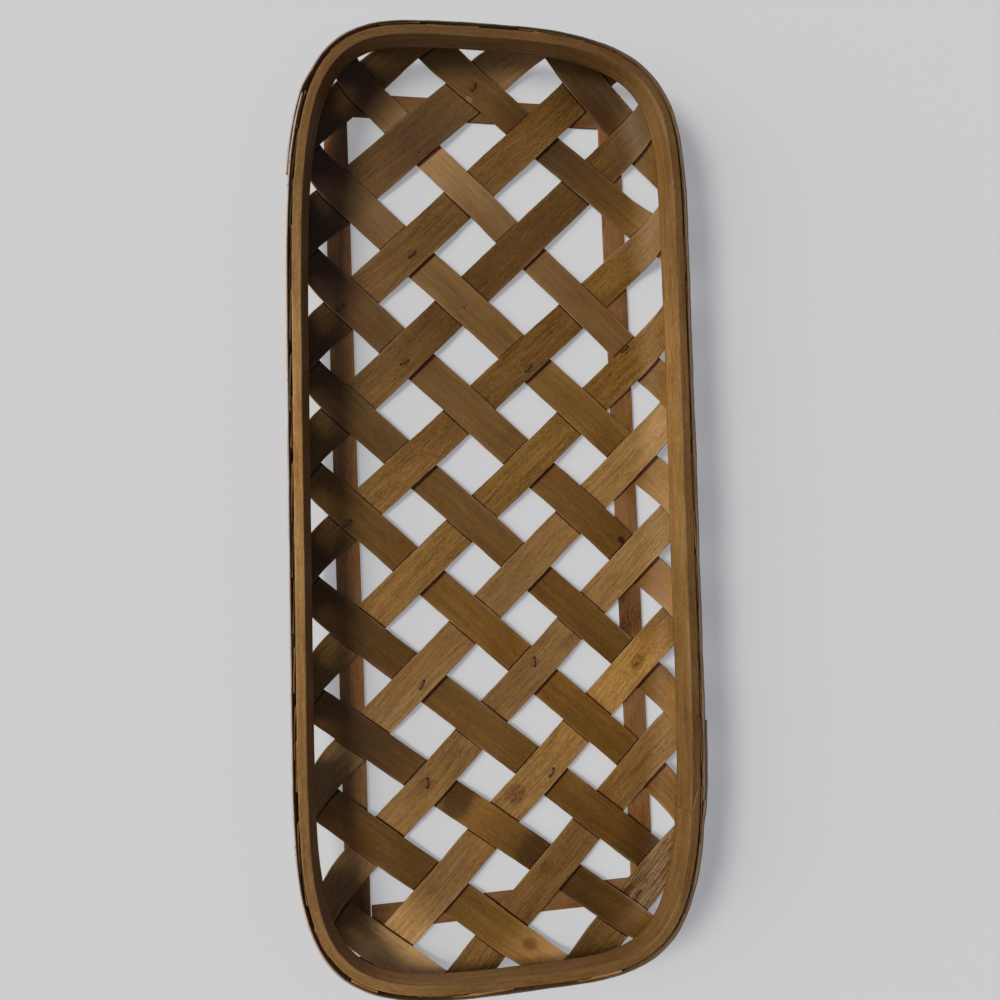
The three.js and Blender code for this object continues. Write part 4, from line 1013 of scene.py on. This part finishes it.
# each band by its start, the start of the other band that it laps over, and its end
right_low = rim_place(1, NEAR_BAND_END_Y - BAND_LAP)
left_high = rim_place(-1, FAR_BAND_END_Y + BAND_LAP)
bands = {
    "far_band": (right_low, left_high, rim_place(-1, FAR_BAND_END_Y)),
    "near_band": (left_high, right_low, rim_place(1, NEAR_BAND_END_Y)),
}
for index, (node, (start, lap, end)) in enumerate(bands.items()):
    lap = start + (lap - start) % rim_length
    end = start + (end - start) % rim_length
    run = np.linspace(start, end, int((end - start) / RIM_STEP))
    rng = np.random.default_rng(30 + index)
    lapped = eased(1 - np.clip((lap - run - 2 * GAP) / BAND_RAMP, 0, 1))
    inner = CHANNEL + lapped * (BAND_THICKNESS + GAP)
    thickness = BAND_THICKNESS - 0.15 + np.clip(wander(rng, run, [(140, 0.1), (43, 0.05)]), -0.15, 0.15)
    # split thinner where they pass the ends of the basket
    thickness -= 0.75 * rim_out[rim_index(run), 1] ** 6
    rough_top = wander(rng, run, [(260, 0.3), (81, 0.25), (29, 0.15), (11, 0.1)])
    piece = rim_bar(
        node + "_wood",
        run,
        inner=inner,
        outer=inner + thickness,
        top=DEPTH - 0.9 + np.clip(rough_top, -0.8, 0.6),
        bottom=DEPTH - BAND_HEIGHT + wander(rng, run, [(240, 0.5), (67, 0.3), (23, 0.15), (9, 0.1)]),
        edge=BAND_EDGE,
        seed=20.0 + 5 * index,
        material=band_wood,
        tone=band_tone_and_light,
        # a painted highlight on the bands' tops
        top_sheen_haze=1.2,
    )
    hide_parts(node)
    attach(piece, "root")

# Staples
# Blackened wire staples. Those in the weave were driven from above, their crowns lying askew on the
# splints, and those of the rim go through a band and the splint ends into the hoop.

WEAVE_WIRE = 0.5
RIM_WIRE = 0.6
WIRE_BEND = 0.9
CLINCH = 3.2
RIM_LEG = 7.0
RIM_STAPLE_DROP = 8.0
# three of those in the weave end in a slat, and the others are turned over under the splints
IN_SLATS = [3, 6, 7]
staple_iron, nodes, shader = new_material("staple_iron")
place = nodes.add("ShaderNodeTexCoord").outputs["Object"]
rust = nodes.between(nodes.grain(place, (900, 900, 900), 3.0, 0.6), 0.42, 0.6)
color = nodes.blend(rust, (0.016, 0.01, 0.007, 1), (0.04, 0.018, 0.009, 1))
relief = nodes.first("ShaderNodeBump", Strength=0.4, Distance=0.1 * MM, Height=rust)
nodes.fill(shader, Base_Color=color, Normal=relief)
nodes.fill(shader, Metallic=nodes.scaled(rust, -0.2, 0.25), Roughness=nodes.scaled(rust, 0.3, 0.55))


def staple_tree():
    # a wire path, given thickness and put at every point of the base mesh, turned as "turn" says
    sizes = [("Wire", "Float", 0.0), ("Bend", "Float", 0.0)]
    tree, nodes, given, result = growing_tree(
        "staples", [("Path", "Object", None), *sizes, ("Iron", "Material", None)]
    )
    path = nodes.add("GeometryNodeObjectInfo", Object=given["Path"]).outputs["Geometry"]
    curve = nodes.first("GeometryNodeMeshToCurve", Mesh=path)
    rounding = {"Count": 4, "Radius": given["Bend"], "Limit_Radius": True}
    curve = nodes.first("GeometryNodeFilletCurve", {"mode": "POLY"}, Curve=curve, **rounding)
    staple = round_wire(nodes, curve, given["Wire"], 8)
    turn = nodes.first("GeometryNodeInputNamedAttribute", {"data_type": "FLOAT_VECTOR"}, Name="turn")
    copies = {"Points": given["Geometry"], "Instance": staple, "Rotation": turn}
    many = nodes.first("GeometryNodeInstanceOnPoints", **copies)
    finish_tree(nodes, result, many, given["Iron"])
    return tree


def staple_path(leg, clinch):
    # the middle line of the wire, in the plane of the staple, with its legs turned in where it is clinched
    half = STAPLE_CROWN / 2
    line = [(-half, 0, -leg), (-half, 0, 0), (half, 0, 0), (half, 0, -leg)]
    if clinch > 0:
        line = [(-half + clinch, 0, -leg), *line, (half - clinch, 0, -leg)]
    mesh = bpy.data.meshes.new("wire_path")
    mesh.from_pydata([tuple(MM * c for c in p) for p in line], [(k, k + 1) for k in range(len(line) - 1)], [])
    return placed("wire_path", mesh)


staple_maker = staple_tree()


def staple_set(name, names, places, turns, leg, clinch, wire):
    base = bpy.data.meshes.new(name + "_places")
    base.from_pydata([tuple(p) for p in places], [], [])
    give(base, "turn", np.array(turns))
    path = staple_path(leg, clinch)
    inputs = {"Path": path, "Wire": wire * MM, "Bend": WIRE_BEND * MM, "Iron": staple_iron}
    piece = grown(name, staple_maker, inputs, base)
    bpy.data.objects.remove(path)
    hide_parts(*names)
    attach(piece, "root")


clinched = [k for k in range(1, len(WEAVE_STAPLE_TURNS) + 1) if k not in IN_SLATS]
for name, members, clinch in (("weave_staples", clinched, CLINCH), ("slat_staples", IN_SLATS, 0)):
    names = [f"weave_staple_{k:02d}" for k in members]
    boxes = [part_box(node) for node in names]
    places = [((low[0] + high[0]) / 2, (low[1] + high[1]) / 2, high[2] - 0.75 * MM) for low, high in boxes]
    turns = [(0, 0, math.radians(WEAVE_STAPLE_TURNS[k - 1])) for k in members]
    leg = (boxes[0][1][2] - boxes[0][0][2]) / MM - 1.2
    staple_set(name, names, places, turns, leg, clinch, WEAVE_WIRE)

rim_names = sorted(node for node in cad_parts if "rim_staple" in node)
laps = ((-1, FAR_BAND_END_Y + BAND_LAP / 2), (1, NEAR_BAND_END_Y - BAND_LAP / 2))
places, turns = [], []
for node in rim_names:
    nearest = np.linalg.norm(rim - pattern_middle(node), axis=1).argmin()
    out = rim_out[nearest]
    # the crown lies on the outermost face, which is that of two bands where they lap
    x, y = rim[nearest]
    lapped = any(np.sign(x) == side and abs(y - middle) < BAND_LAP / 2 for side, middle in laps)
    face = CHANNEL + 2 * BAND_THICKNESS + GAP if lapped else CHANNEL + BAND_THICKNESS
    run = np.array([nearest * rim_length / OUTLINE_POINTS])
    places.append(rim_point(run, np.array([face + 0.1]), np.array([DEPTH - RIM_STAPLE_DROP]))[0] * MM)
    turns.append((math.pi / 2 + float(flare_of(out)), 0, math.atan2(out[1], out[0]) + math.pi / 2))
staple_set("rim_staples", rim_names, places, turns, RIM_LEG, 0, RIM_WIRE)

# Floor, light and camera
# A pale floor under the basket, a soft sun high on the left and the broader light of a window lower on
# the same side, and the photograph's view.

FLOOR_REACH = 6.0
BACKDROP = (0.62, 0.62, 0.63, 1)
SKY = (0.114, 0.128, 0.22, 1)
# each lamp: its strength, how broad it is, and its turn about X and Y, in degrees
LAMPS = {"key": (2.6, 18, -8, -43), "window": (2.0, 50, -3, -62)}
LAMP_COLOR = (1.0, 0.985, 0.95)
EYE_PLACE = (-0.1914, -0.0549, 0.9746)
EYE_TURN = (3.541, -11.585, -2.209)


def seen_directly(nodes, clamp=False):
    # 1 for what the camera sees, also in a gloss or through glass, and 0 for the light on the basket
    ray = nodes.add("ShaderNodeLightPath").outputs
    indirect = nodes.plus(ray["Is Glossy Ray"], ray["Is Transmission Ray"])
    return nodes.plus(ray["Is Camera Ray"], indirect, clamp)


corners = [(-1, -1), (1, -1), (1, 1), (-1, 1)]
floor_mesh = bpy.data.meshes.new("floor")
floor_mesh.from_pydata([(x * FLOOR_REACH, y * FLOOR_REACH, 0) for x, y in corners], [], [(0, 1, 2, 3)])
floor = placed("floor", floor_mesh)
floor_paint, nodes, shader = new_material("floor_paint")
glow = nodes.times(seen_directly(nodes), 0.28)
nodes.fill(shader, Base_Color=(0.3, 0.3, 0.3, 1), Roughness=0.9)
nodes.fill(shader, Emission_Color=(1.0, 0.995, 0.985, 1), Emission_Strength=glow)
floor_mesh.materials.append(floor_paint)

world = bpy.data.worlds.new("studio")
world.use_nodes = True
nodes = Nodes(world.node_tree)
color = nodes.blend(seen_directly(nodes, clamp=True), SKY, BACKDROP)
nodes.fill(world.node_tree.nodes["Background"], Color=color, Strength=1.0)
bpy.context.scene.world = world

for name, (energy, spread, turn_x, turn_y) in LAMPS.items():
    lamp = bpy.data.lights.new(name, "SUN")
    lamp.energy = energy
    lamp.angle = math.radians(spread)
    lamp.color = LAMP_COLOR
    placed(name, lamp).rotation_euler = (math.radians(turn_x), math.radians(turn_y), 0)

camera = bpy.data.cameras.new("camera")
camera.lens = 36
camera.sensor_width = 36
camera.clip_end = 30
eye = placed("camera", camera)
eye.location = EYE_PLACE
eye.rotation_euler = tuple(math.radians(turn) for turn in EYE_TURN)
bpy.context.scene.camera = eye
bpy.context.scene.view_settings.view_transform = "Standard"
